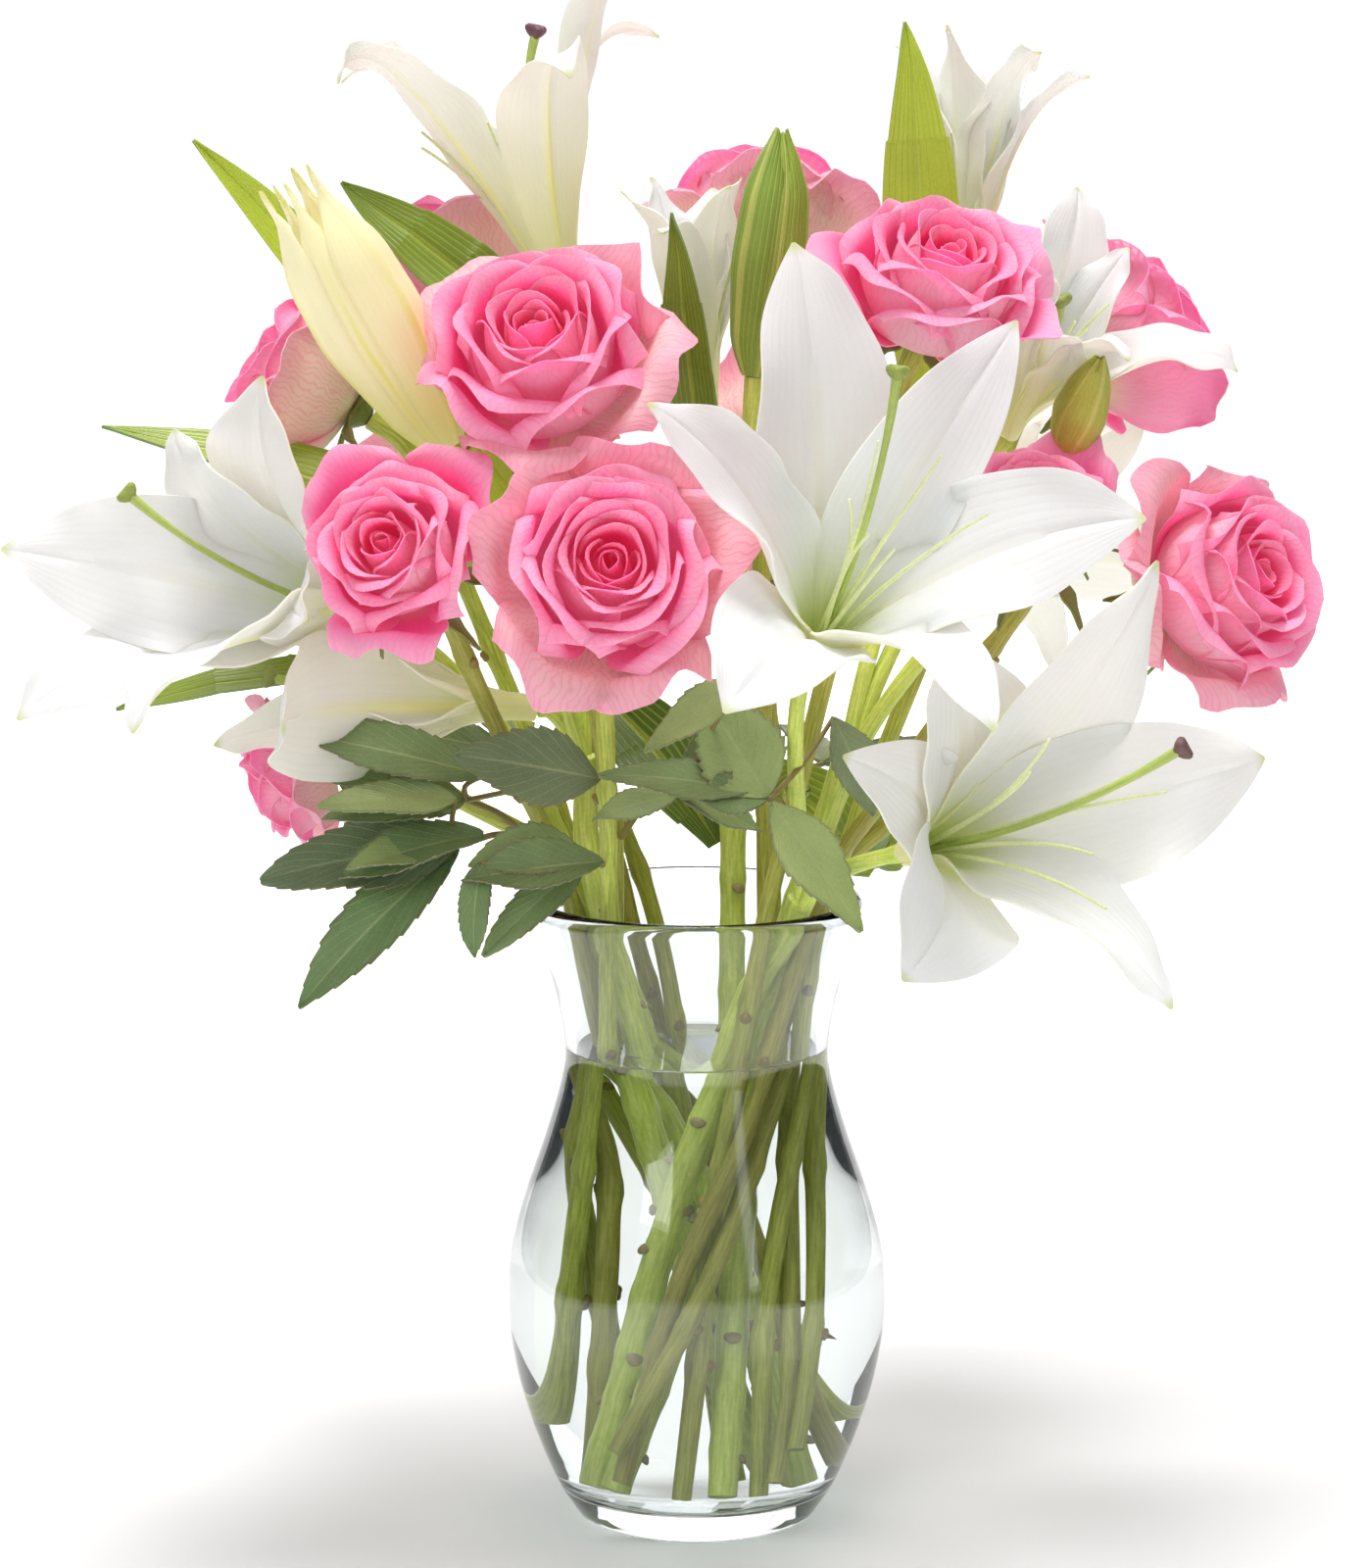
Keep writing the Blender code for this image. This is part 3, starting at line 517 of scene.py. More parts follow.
# a green stem with fine lengthwise streaks; "tint" reddens it where it is old
def stemFinish(name, dark, light, old, roughness):
    finish, tree, shader, place, maps = newFinish(name)
    soft = softTissue(tree, place, 0.6, 0.3, 35.0, 700.0)
    stretched = addNode(tree, "ShaderNodeMapping", {"Vector": maps, "Scale": (26.0, 90.0, 1.0)})
    streak = noiseNode(tree, stretched.outputs[0], 1.0, 3.0)
    body = mixColour(tree, ramp(tree, streak, 0.22, 0.72), seen(*dark), seen(*light))
    aged = mixColour(tree, attribute(tree, "tint"), body, seen(*old))
    coat(tree, shader, aged, soft, {
        "Roughness": roughness, "Specular IOR Level": 0.45, "Subsurface Weight": 0.1,
        "Subsurface Radius": (0.6, 1.0, 0.3), "Subsurface Scale": 0.0015})
    addBump(tree, shader, streak, 0.12, 0.0004)
    return finish


# runs a tree on an object and gives back its result as a plain mesh
def runTree(obj, tree, values):
    modifier = obj.modifiers.new(tree.name, "NODES")
    modifier.node_group = tree
    for socket in tree.interface.items_tree:
        if socket.in_out == "INPUT" and socket.name in values:
            modifier[socket.identifier] = values[socket.name]
    shown = obj.evaluated_get(bpy.context.evaluated_depsgraph_get())
    mesh = bpy.data.meshes.new_from_object(shown)
    obj.modifiers.remove(modifier)
    return mesh


# makes a tree's instances real, smooth and coated
def endTree(tree, given, out, placed):
    real = addNode(tree, "GeometryNodeRealizeInstances", {"Geometry": placed.outputs[0]})
    smooth = addNode(tree, "GeometryNodeSetShadeSmooth", {"Geometry": real.outputs[0]})
    coated = addNode(tree, "GeometryNodeSetMaterial",
                     {"Geometry": smooth.outputs[0], "Material": given["Material"]})
    tree.links.new(coated.outputs[0], out[0])
    return tree


# prickles: small cones on a skin, leaning the way its normals point
def prickleTree():
    tree, given, out = newTree("GeometryNodeTree", "Prickles",
                               {"Geometry": None, "Density": 900.0, "Length": 0.0016, "Width": 0.0009,
                                "Seed": 3, "Material": None}, ("Geometry",))
    spots = addNode(tree, "GeometryNodeDistributePointsOnFaces",
                    {"Mesh": given["Geometry"], "Density": given["Density"],
                     "Seed": given["Seed"]})
    cone = addNode(tree, "GeometryNodeMeshCone",
                   {"Vertices": 7, "Side Segments": 2, "Radius Top": 0.00008,
                    "Radius Bottom": given["Width"], "Depth": given["Length"]})
    sizes = addNode(tree, "FunctionNodeRandomValue", {2: 0.55, 3: 1.25, "Seed": 5}, data_type="FLOAT")
    placed = addNode(tree, "GeometryNodeInstanceOnPoints",
                     {"Points": spots.outputs["Points"], "Instance": cone.outputs["Mesh"],
                      "Rotation": spots.outputs["Rotation"], "Scale": sizes.outputs[1]})
    return endTree(tree, given, out, placed)


# filaments: the same curved thread stood on each point of the ring it is given, fanned outwards
def filamentTree():
    tree, given, out = newTree("GeometryNodeTree", "Filaments",
                               {"Geometry": None, "Length": 0.09, "Spread": 0.03, "Thickness": 0.001,
                                "Seed": 1, "Material": None}, ("Geometry",))
    middle = addNode(tree, "ShaderNodeCombineXYZ",
                     {"X": times(tree, given["Spread"], 0.22),
                      "Z": times(tree, given["Length"], 0.62)})
    end = addNode(tree, "ShaderNodeCombineXYZ", {"X": given["Spread"], "Z": given["Length"]})
    thread = addNode(tree, "GeometryNodeCurveQuadraticBezier",
                     {"Resolution": 20, "Start": (0, 0, 0), "Middle": middle.outputs[0],
                      "End": end.outputs[0]})
    share = addNode(tree, "GeometryNodeSplineParameter")
    thin = addNode(tree, "ShaderNodeMapRange", {0: share.outputs["Factor"], 1: 0.0, 2: 1.0, 3: 1.0, 4: 0.45})
    tapered = addNode(tree, "GeometryNodeSetCurveRadius",
                      {"Curve": thread.outputs[0], "Radius": thin.outputs[0]})
    ring = addNode(tree, "GeometryNodeCurvePrimitiveCircle",
                   {"Resolution": 8, "Radius": given["Thickness"]})
    tube = addNode(tree, "GeometryNodeCurveToMesh",
                   {"Curve": tapered.outputs[0], "Profile Curve": ring.outputs[0], "Fill Caps": True,
                    "Scale": thin.outputs[0]})
    place = addNode(tree, "GeometryNodeInputPosition")
    flat = addNode(tree, "ShaderNodeVectorMath", {0: place.outputs[0], 1: (1, 1, 0)}, operation="MULTIPLY")
    turned = addNode(tree, "FunctionNodeAlignRotationToVector", {"Vector": flat.outputs[0]},
                     axis="X", pivot_axis="Z")
    wobble = addNode(tree, "FunctionNodeRandomValue",
                     {0: (-0.16, -0.16, -0.3), 1: (0.16, 0.16, 0.3), "Seed": given["Seed"]},
                     data_type="FLOAT_VECTOR")
    turnedMore = addNode(tree, "FunctionNodeRotateRotation",
                         {"Rotation": turned.outputs[0], "Rotate By": wobble.outputs[0]},
                         rotation_space="LOCAL")
    sizes = addNode(tree, "FunctionNodeRandomValue",
                    {2: 0.9, 3: 1.08, "Seed": given["Seed"]}, data_type="FLOAT")
    placed = addNode(tree, "GeometryNodeInstanceOnPoints",
                     {"Points": given["Geometry"], "Instance": tube.outputs[0],
                      "Rotation": turnedMore.outputs[0], "Scale": sizes.outputs[1]})
    return endTree(tree, given, out, placed)


prickles = prickleTree()
filaments = filamentTree()


# joins another mesh, already in place, to a piece; an empty one is left out
def addMesh(obj, mesh):
    if not len(mesh.vertices):
        return
    extra = bpy.data.objects.new(obj.name + ".part", mesh)
    bpy.context.scene.collection.objects.link(extra)
    with bpy.context.temp_override(active_object=obj, selected_editable_objects=[obj, extra],
                                   selected_objects=[obj, extra], object=obj):
        bpy.ops.object.join()


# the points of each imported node
nodePoints = {}
for key, node in nodes.items():
    flat = np.empty(len(node.data.vertices) * 3, np.float32)
    node.data.vertices.foreach_get("co", flat)
    nodePoints[key] = flat.reshape(-1, 3).astype(float)


# seat and radius of a turned head or bud, from its points and its axis
def headPlace(points, axis, depth):
    seat = seatOf(points, axis, depth)
    off = points - seat
    return seat, np.linalg.norm(off - np.outer(off @ axis, axis), axis=1).max()


# the last value of each look is an emission strength: a painted glow that stands in for light through the
# petal
roseFinishes = [
    rosePetalFinish("rose petal inner", {
        "deep": seen(255, 84, 146), "light": seen(255, 126, 178), "heart": seen(255, 54, 118),
        "rim": seen(255, 196, 216), "rimShare": 0.45, "sideShare": 0.18, "claw": seen(238, 222, 178),
        "vein": seen(240, 84, 136), "veinShare": 0.16, "patch": 0.12, "glow": 0.40, "through": 0.085}),
    rosePetalFinish("rose petal outer", {
        "deep": seen(255, 150, 188), "light": seen(255, 196, 214), "heart": seen(255, 104, 156),
        "rim": seen(250, 112, 162), "rimShare": 0.70, "sideShare": 0.45, "claw": seen(240, 224, 188),
        "vein": seen(244, 112, 156), "veinShare": 0.20, "patch": 0.14, "glow": 0.45, "through": 0.08}),
    rosePetalFinish("rose guard petal", {
        "deep": seen(250, 184, 188), "light": seen(253, 216, 208), "heart": seen(248, 168, 184),
        "rim": seen(246, 150, 176), "rimShare": 0.80, "sideShare": 0.55, "claw": seen(226, 224, 176),
        "vein": seen(236, 128, 150), "veinShare": 0.34, "patch": 0.22, "glow": 0.35, "through": 0.06}),
    stemFinish("rose hip and sepals", (84, 112, 52), (132, 158, 84), (150, 96, 62), 0.5)]


# one petal in its rose's own axes, heart at the origin; form gives its (radius, height) line, its
# width, how it wraps, how its rim rolls out and how it waves
def rosePetal(form, rows, cols):
    along, across = sheetShares(rows, cols)
    reach = 1 - form["shoulder"] * np.abs(across) ** 2.4
    rollFrom = form["rollFrom"]
    part = np.minimum(along / rollFrom, 1) * reach
    line = bezier(form["line"], part)
    ahead = bezier(form["line"], part + 0.01) - line
    steep = np.arctan2(ahead[..., 1], ahead[..., 0])
    past = np.clip((along - rollFrom) / (1 - rollFrom), 0, 1)
    rough = 1 + form["uneven"] * np.sin(across * form["waves"][0] + form["phase"])
    turn = np.maximum(form["roll"] * rough, 0.05)
    bend = turn / (form["rollSize"] * (1 + form["peak"] * (1 - np.abs(across) ** 0.8)))
    swung = steep - turn * past
    out = line[..., 0] + (np.sin(steep) - np.sin(swung)) / bend
    high = line[..., 1] + (np.cos(swung) - np.cos(steep)) / bend
    wide = form["wide"] * (0.26 + 0.74 * np.sin(math.pi / 2 * np.minimum(along / 0.75, 1)) ** 1.1)
    wide = wide * (1 - 0.10 * smoothstep(0.86, 1.0, along))
    hoop = np.maximum(line[..., 0], form["tightest"]) * form["flat"]
    angle = np.clip(across * wide / hoop, -2.7, 2.7)
    edge = np.clip((np.abs(across) - 0.5) / 0.5, 0, 1)
    lift = form["edgeRoll"] * edge ** 2 * smoothstep(0.35, 0.95, along)
    wave = form["wave"] * along ** 2.5 * (np.sin(across * form["waves"][0] + form["phase"])
                                          + 0.6 * np.sin(across * form["waves"][1] + 2 * form["phase"]))
    radial = out - hoop * (1 - np.cos(angle)) + lift + wave
    side = hoop * np.sin(angle) * (1 - 0.06 * edge * smoothstep(0.6, 1, along))
    high = high - 0.35 * lift + 0.5 * wave * np.cos(across * 5 + form["phase"])
    return turnedSheet(radial, side, high, form["turn"])


# a whole rose head: petals set by the golden angle, from a closed heart to reflexed guard petals,
# with the hip and sepals that hold them
def makeRose(name, look):
    seat, radius = headPlace(nodePoints[name], unit(look["facing"]), 0.0004)
    axes = flowerAxes(look["facing"])
    chance = np.random.default_rng(look["seed"])
    piece = newPiece()
    count = look["petals"]
    base = 0.16
    goldenAngle = 2.39996
    for k in range(count):
        share = k / (count - 1)
        guard = k >= count - look["guards"]
        spread = share ** 0.92 * look["open"]
        jitter = chance.uniform(-1, 1, 8)
        belly = 0.10 + 0.68 * spread + 0.02 * jitter[0]
        rim = 0.05 + 0.82 * spread ** 1.12 + 0.045 * jitter[1]
        top = 1.02 + 0.20 * math.sin(math.pi * min(share * 1.15, 1)) - 0.24 * share ** 3 + 0.04 * jitter[2]
        low = base + 0.05 * share
        if guard:
            late = (k - (count - look["guards"])) / max(look["guards"] - 1, 1)
            belly = 0.74 + 0.06 * late
            rim = 0.90 + 0.05 * jitter[1]
            top = look["guardTop"] - 0.14 * late + 0.05 * jitter[2]
        form = {
            "line": [(0.04 + 0.05 * share, low - 0.03 * share), (belly * 1.02, low + 0.06 - 0.05 * share),
                     (belly * 1.10, low + (top - low) * 0.60), (rim, top * (0.955 if share > 0.2 else 1.0))],
            "wide": (0.20 + 0.60 * min(share * 1.4, 1) ** 0.8) * (1 + 0.10 * jitter[3]),
            "flat": 1.0 + 0.22 * share, "tightest": 0.09,
            "shoulder": 0.20 + 0.05 * jitter[4], "rollFrom": 0.86 - 0.10 * share,
            "roll": (0.15 + 2.1 * share ** 0.9) * (1 + 0.22 * jitter[5]),
            "rollSize": 0.05 + 0.17 * share, "peak": 0.25 + 0.35 * share, "uneven": 0.35,
            "edgeRoll": 0.04 + 0.17 * share, "wave": 0.006 + 0.034 * share ** 1.3,
            "waves": (3.0 + 2 * abs(jitter[6]), 7.0 + 3 * jitter[7]), "phase": 6.3 * chance.random(),
            "turn": k * goldenAngle + 0.12 * jitter[6] + look["turn"]}
        if guard:
            form.update({"roll": 1.5 + 0.6 * jitter[5], "rollSize": 0.30, "wave": 0.055, "edgeRoll": 0.10,
                         "wide": 0.74 * (1 + 0.1 * jitter[3])})
        rows = 10 + int(8 * share)
        cols = 15 + int(4 * share)
        points = rosePetal(form, rows, cols) * radius @ axes.T + seat
        thick = np.linspace(0.0009, 0.00035, rows)[:, None] * np.ones((1, cols))
        # the petal's inside looks back at the flower's axis
        tint = float(np.clip(0.5 + 0.5 * jitter[0], 0, 1))
        pair = (2, 2) if guard and look["pale"] else (0, 1)
        addSheet(piece, points[:, ::-1], thick, pair, layer=share, tint=tint)
    hip = [(0.0, 0.30), (0.13, 0.27), (0.19, 0.19), (0.185, 0.10), (0.14, 0.04), (0.10, 0.0), (0.085, -0.02),
           (0.0, -0.02)]
    addTurned(piece, np.array(resample([(r, 0, z) for r, z in hip], 22))[:, [0, 2]] * radius, 20, 3,
              tint=0.15, place=(seat, axes))
    for k in range(5):
        sepal = sepalSheet(look["sepals"] * (0.85 + 0.3 * chance.random()), 2 * math.pi * k / 5
                           + look["turn"] + 0.3 * chance.uniform(-1, 1), radius, chance)
        addSheet(piece, sepal @ axes.T + seat, 0.0007, (3, 3), tint=0.1 + 0.3 * chance.random())
    obj = makeObject("petals." + name, piece, roseFinishes)
    return finishPiece(obj, "rose_petal", name)


# a sepal bent back under the head: a narrow blade with two small teeth
def sepalSheet(length, turn, radius, chance):
    along, across = sheetShares(16, 7)
    down = -0.25 - 0.75 * chance.random()
    line = bezier([(0.13 * radius, 0.10 * radius), (0.36 * radius, 0.13 * radius),
                   (0.20 * radius + length * 0.55, 0.05 * radius),
                   (0.20 * radius + length * 0.85, down * length * 0.7)], along[:, 0])
    half = 0.0034 * (1 - along ** 1.6) ** 0.8 * (1 + 0.25 * np.sin(along * 21)) + 0.0002
    twist = 0.8 * along * chance.uniform(-1, 1)
    out = line[:, 0, None] + across * half * np.sin(twist)
    high = line[:, 1, None] + across * half * np.sin(twist) * 0.3 + 0.0012 * across ** 2
    side = across * half * np.cos(twist)
    return turnedSheet(out, side, high, turn)


usualRose = {"petals": 30, "guards": 4, "open": 1.0, "pale": True, "guardTop": 0.75, "sepals": 0.018}
roses = {
    "rose_1": {"facing": (-0.10, -0.75, 0.65), "turn": 0.3, "petals": 32, "guardTop": 0.7, "sepals": 0.022},
    "rose_2": {"facing": (-0.25, -0.85, 0.40), "turn": 1.2, "petals": 29, "guards": 3, "open": 0.93,
               "pale": False, "guardTop": 0.8, "sepals": 0.022},
    "rose_3": {"facing": (0.08, -0.90, 0.35), "turn": 2.1, "petals": 34, "guards": 5, "guardTop": 0.72,
               "sepals": 0.02},
    "rose_4": {"facing": (0.25, -0.55, 0.80), "turn": 0.9, "petals": 31, "guards": 3, "pale": False,
               "guardTop": 0.78},
    "rose_5": {"facing": (0.65, -0.60, 0.30), "turn": 2.6, "petals": 32, "open": 0.98, "guardTop": 0.72},
    "rose_6": {"facing": (-0.05, -0.52, 0.85), "turn": 0.1, "petals": 28, "guards": 2, "open": 0.88,
               "pale": False, "guardTop": 0.86},
    "rose_7": {"facing": (-0.50, 0.50, 0.70), "turn": 1.7},
    "rose_8": {"facing": (-0.85, 0.05, 0.50), "turn": 2.9},
    "rose_9": {"facing": (0.05, 0.55, 0.83), "turn": 0.6},
    "rose_10": {"facing": (0.80, 0.40, 0.50), "turn": 1.4, "petals": 32, "pale": False},
    "rose_11": {"facing": (-0.85, -0.15, -0.35), "turn": 2.2, "petals": 24, "open": 0.95},
    "rose_12": {"facing": (0.10, 0.92, 0.38), "turn": 3.1, "petals": 32},
    "rose_13": {"facing": (-0.55, 0.80, 0.28), "turn": 0.5}}
for number, (key, look) in enumerate(roses.items(), 1):
    makeRose(key, {**usualRose, **look, "seed": 10 + number})
print("roses made")


# the last value of each tepal look is an emission strength: a painted glow that stands in for light through
# the tepal
lilyFinishes = [
    tepalFinish("lily tepal inside", {
        "cool": seen(224, 225, 225), "warm": seen(232, 231, 227), "rib": seen(236, 238, 214),
        "ribShare": 0.55, "throat": seen(208, 226, 84), "throatEnd": 0.42, "throatShare": 0.92,
        "tip": seen(186, 196, 112), "groove": seen(204, 208, 204), "through": 0.08}),
    tepalFinish("lily tepal back", {
        "cool": seen(226, 225, 216), "warm": seen(234, 231, 214), "rib": seen(232, 228, 140),
        "ribShare": 0.95, "throat": seen(228, 226, 140), "throatEnd": 0.66, "throatShare": 0.75,
        "tip": seen(176, 188, 90), "groove": seen(206, 206, 190), "through": 0.13}),
    stemFinish("lily filament", (214, 224, 150), (232, 236, 186), (196, 206, 110), 0.42),
    stemFinish("lily style", (170, 190, 92), (200, 212, 124), (150, 172, 70), 0.40),
    stemFinish("lily stigma", (132, 150, 62), (164, 176, 88), (112, 70, 84), 0.55)]


# a tepal's line in (outwards, along the axis): up the funnel, out to its tip and over
def tepalLine(throat, lean, reach, curl, arch):
    lean = math.radians(lean)
    end = lean + math.radians(curl)
    tip = np.array((reach * math.sin(lean), throat + reach * math.cos(lean)))
    return [np.array((3.2 * mm, 1.2 * mm)), np.array((4.5 * mm, throat * 0.95)),
            tip - np.array((math.sin(end), math.cos(end))) * reach * arch, tip]


# a tepal's sheet in its lily's own axes
def tepalSheet(line, turn, half, look, inner, rows=40, cols=17):
    along, across = sheetShares(rows, cols)
    middle = bezier(line, along[:, 0])
    ahead = unitRows(bezier(line, along[:, 0] + 0.01) - bezier(line, along[:, 0] - 0.01))
    rise = smoothstep(0.0, look["widest"], along) ** 0.85
    fall = 1 - np.clip((along - look["widest"]) / (1 - look["widest"]), 0, 1) ** 1.85
    wide = half * (0.13 + 0.87 * rise) * fall + 0.5 * mm
    funnel = np.maximum(middle[:, 0, None], 4 * mm)
    spread = smoothstep(0.18, 0.50, along)
    gutter = look["gutter"] * (1 - 0.8 * smoothstep(0.6, 1, along))
    bend = (1 - spread) / np.maximum(funnel, wide / 1.9) + spread * gutter / half
    turned = across * wide * bend
    side = np.where(np.abs(bend) > 1e-3, np.sin(turned) / bend, across * wide)
    lift = (1 - np.cos(turned)) / bend
    groove = look["groove"] * np.exp(-(across / 0.075) ** 2) * smoothstep(0.05, 0.25, along) \
        * (1 - smoothstep(0.85, 1, along))
    ribs = 0.04 * mm * np.cos(across * 17) * smoothstep(0.1, 0.3, along) * (1 - smoothstep(0.75, 1, along))
    wave = look["wave"] * np.abs(across) ** 2.5 * smoothstep(0.22, 0.55, along) \
        * (1 - smoothstep(0.9, 1, along))
    wave = wave * (np.sin(along * look["ripple"] + look["phase"] + 1.3 * np.sign(across))
                   + 0.45 * np.sin(along * look["ripple"] * 2.1 + 2.0 * look["phase"]))
    lift = lift - groove - ribs + wave + (0.25 * mm if inner else -0.35 * mm)
    twist = look["twist"] * smoothstep(0.3, 1, along)
    side, lift = twisted(side, lift, twist)
    sway = look["sway"] * smoothstep(0.25, 1, along) ** 1.5
    out = middle[:, 0, None] - ahead[:, 1, None] * lift
    high = middle[:, 1, None] + ahead[:, 0, None] * lift
    return turnedSheet(out, side + sway, high, turn)


# a whole lily: six tepals, six filaments round a style with a three-lobed stigma
def makeLily(name, look):
    seat = seatOf(nodePoints[name], unit(look["facing"]), 0.0004)
    axes = flowerAxes(look["facing"])
    chance = np.random.default_rng(look["seed"])
    piece = newPiece()
    throat = look["throat"] * mm
    order = sorted(range(6), key=lambda k: look["tepals"][k][0])
    for place, k in enumerate(order):
        turn, lean, length, curl = look["tepals"][k][:4]
        inner = (place + look["innerFirst"]) % 2 == 0
        half = (25.0 if inner else 19.0) * mm * look["size"] * min(1, 0.62 + length / 260)
        form = {"widest": 0.56 if inner else 0.50, "gutter": chance.uniform(0.35, 0.75),
                "groove": (1.3 if inner else 0.9) * mm, "wave": chance.uniform(1.4, 3.0) * mm,
                "ripple": chance.uniform(9, 15), "phase": chance.uniform(0, 6.28),
                "twist": chance.uniform(-0.28, 0.28), "sway": chance.uniform(-4, 4) * mm}
        line = tepalLine(throat, lean, length * mm, curl, look["arch"])
        sheet = tepalSheet(line, -math.radians(turn), half, form, inner)
        thick = (0.5 + 0.7 * (1 - np.linspace(0, 1, 40)) ** 2)[:, None] * mm * np.ones((1, 17))
        addSheet(piece, (sheet @ axes.T + seat)[:, ::-1], thick, (0, 1), tint=chance.random())
    ovary = resample([(0, 0, 2 * mm), (0, 0, throat * 0.4), (0, 0, throat * 0.75)], 8)
    addTube(piece, ovary @ axes.T + seat, [2.2 * mm] * 5 + [2.0 * mm, 1.6 * mm, 1.2 * mm], 3, tint=0.4)
    tip = look["style"]
    bentLine = bezier([np.array((0, 0, throat * 0.6)), np.array((0, 0, throat * 0.6 + tip[2] * 0.55 * mm)),
                       np.array(tip) * mm * (0.8, 0.8, 1.0)], np.linspace(0, 1, 20))
    size = np.concatenate((np.full(14, 1.05), np.linspace(1.05, 1.6, 6))) * mm
    addTube(piece, bentLine @ axes.T + seat, size, 3, around=10, tint=0.3)
    end = bentLine[-1] @ axes.T + seat
    way = unit((bentLine[-1] - bentLine[-2]) @ axes.T)
    addStigma(piece, end, way, look["stigmaTint"])
    obj = makeObject("tepals." + name, piece, lilyFinishes)
    if look["threads"]:
        turns = [0.3 + math.tau * k / 6 for k in range(6)]
        ringMesh = bpy.data.meshes.new("ring")
        ringMesh.from_pydata([(1.6 * mm * math.cos(a), 1.6 * mm * math.sin(a), throat * 0.35)
                              for a in turns], [], [])
        ring = bpy.data.objects.new("ring", ringMesh)
        bpy.context.scene.collection.objects.link(ring)
        mesh = runTree(ring, filaments, {"Length": look["threads"] * mm, "Spread": look["spread"] * mm,
                                         "Thickness": 0.95 * mm, "Seed": look["seed"],
                                         "Material": lilyFinishes[2]})
        bpy.data.objects.remove(ring)
        coords = np.empty(len(mesh.vertices) * 3, np.float32)
        mesh.vertices.foreach_get("co", coords)
        coords = coords.reshape(-1, 3) @ axes.T + seat
        mesh.vertices.foreach_set("co", coords.astype(np.float32).ravel())
        addMesh(obj, mesh)
    return finishPiece(obj, "lily_petal", name)


# three blunt lobes round a dimple
def addStigma(piece, end, way, tint):
    side = unit(np.cross(way, (0.3, 0.2, 0.9)))
    other = np.cross(way, side)
    turn = np.linspace(0, math.tau, 25)
    turn[-1] = 0
    profile = [(0.0, -0.6), (1.3, -0.5), (2.4, 0.5), (3.2, 1.8), (3.2, 2.8), (2.5, 3.6), (1.3, 3.6),
               (0.5, 2.9), (0.0, 2.7)]
    rows = []
    for radius, high in profile:
        lobed = radius * (1 + 0.24 * np.cos(3 * turn)) * mm
        rows.append(end + way * high * mm + lobed[:, None] * (np.cos(turn)[:, None] * side
                                                             + np.sin(turn)[:, None] * other))
    addGrid(piece, np.array(rows), evenMap(len(rows), 25), 4, tint=tint)


# each tepal: its turn, its lean from the axis, its reach in millimetres and how far it curls
usualLily = {"throat": 30, "size": 1.0, "innerFirst": 0, "stigmaTint": 0.2, "arch": 0.38}
lilies = {
    "lily_1": {"facing": (0.24, -0.72, 0.66), "innerFirst": 1, "style": (36, -6, 104), "stigmaTint": 0.0,
               "threads": 88, "spread": 22,
               "tepals": ((354, 58, 108, 25), (40, 52, 100, 30), (103, 50, 98, 30), (172, 56, 95, 45),
                          (225, 65, 90, 45), (294, 51, 94, 30))},
    "lily_2": {"facing": (0.55, -0.80, 0.25), "innerFirst": 1, "style": (20, -30, 104), "stigmaTint": 0.9,
               "threads": 84, "spread": 22,
               "tepals": ((345, 66, 70, 45), (29, 51, 103, 30), (81, 50, 92, 35), (165, 40, 90, 40),
                          (232, 64, 72, 45), (300, 70, 66, 50))},
    "lily_3": {"facing": (-0.64, -0.71, 0.30), "throat": 32, "style": (22, 26, 96), "stigmaTint": 0.0,
               "threads": 0, "spread": 24,
               "tepals": ((10, 50, 80, 40), (332, 44, 70, 60), (263, 34, 98, 30), (210, 40, 102, 35),
                          (158, 36, 100, 35), (100, 46, 50, 60))},
    "lily_4": {"facing": (-0.29, 0.25, 0.92), "size": 0.66, "style": (24, 2, 90), "stigmaTint": 1.0,
               "threads": 60, "spread": 20, "arch": 0.52,
               "tepals": ((98, 50, 86, 100), (140, 36, 82, 85), (346, 46, 84, 120), (300, 46, 80, 85),
                          (30, 62, 68, 110), (232, 46, 82, 85))},
    "lily_6": {"facing": (0.12, 0.12, 0.98), "throat": 34, "size": 0.66, "style": (4, 4, 60), "threads": 52,
               "spread": 14,
               "tepals": ((67, 30, 62, 50), (21, 15, 62, 10), (168, 22, 66, 45), (278, 28, 60, 60),
                          (225, 34, 60, 50), (120, 26, 60, 20))},
    "lily_7": {"facing": (-0.06, 0.02, 0.99), "size": 0.62, "style": (4, 2, 56), "threads": 48,
               "spread": 12,
               "tepals": ((147, 26, 52, 35), (205, 20, 54, 10), (260, 24, 50, 30), (320, 20, 52, 15),
                          (31, 22, 50, 35), (88, 40, 44, 90))},
    "lily_8": {"facing": (0.36, -0.45, 0.80), "throat": 26, "size": 0.76, "style": (4, 2, 50),
               "threads": 44, "spread": 14,
               "tepals": ((22, 42, 60, 35), (70, 34, 48, 20), (130, 66, 62, 60), (182, 46, 42, 60),
                          (240, 44, 38, 60), (308, 32, 52, 40))},
    "lily_9": {"facing": (-0.95, -0.25, 0.10), "throat": 28, "innerFirst": 1, "style": (4, 6, 84),
               "threads": 70, "spread": 18,
               "tepals": ((92, 42, 84, 60), (45, 28, 54, 40), (128, 16, 80, 20), (200, 8, 54, 10),
                          (262, 22, 52, 40), (320, 24, 50, 40))},
    "lily_10": {"facing": (0.62, 0.74, 0.25), "style": (24, 4, 100), "stigmaTint": 0.3, "threads": 84,
                "spread": 22,
                "tepals": ((5, 56, 86, 45), (62, 52, 90, 40), (118, 50, 86, 45), (180, 54, 84, 45),
                           (240, 52, 88, 45), (302, 56, 84, 45))}}
for key, look in lilies.items():
    makeLily(key, {**usualLily, **look, "seed": 30 + int(key[5:])})
print("lilies made")


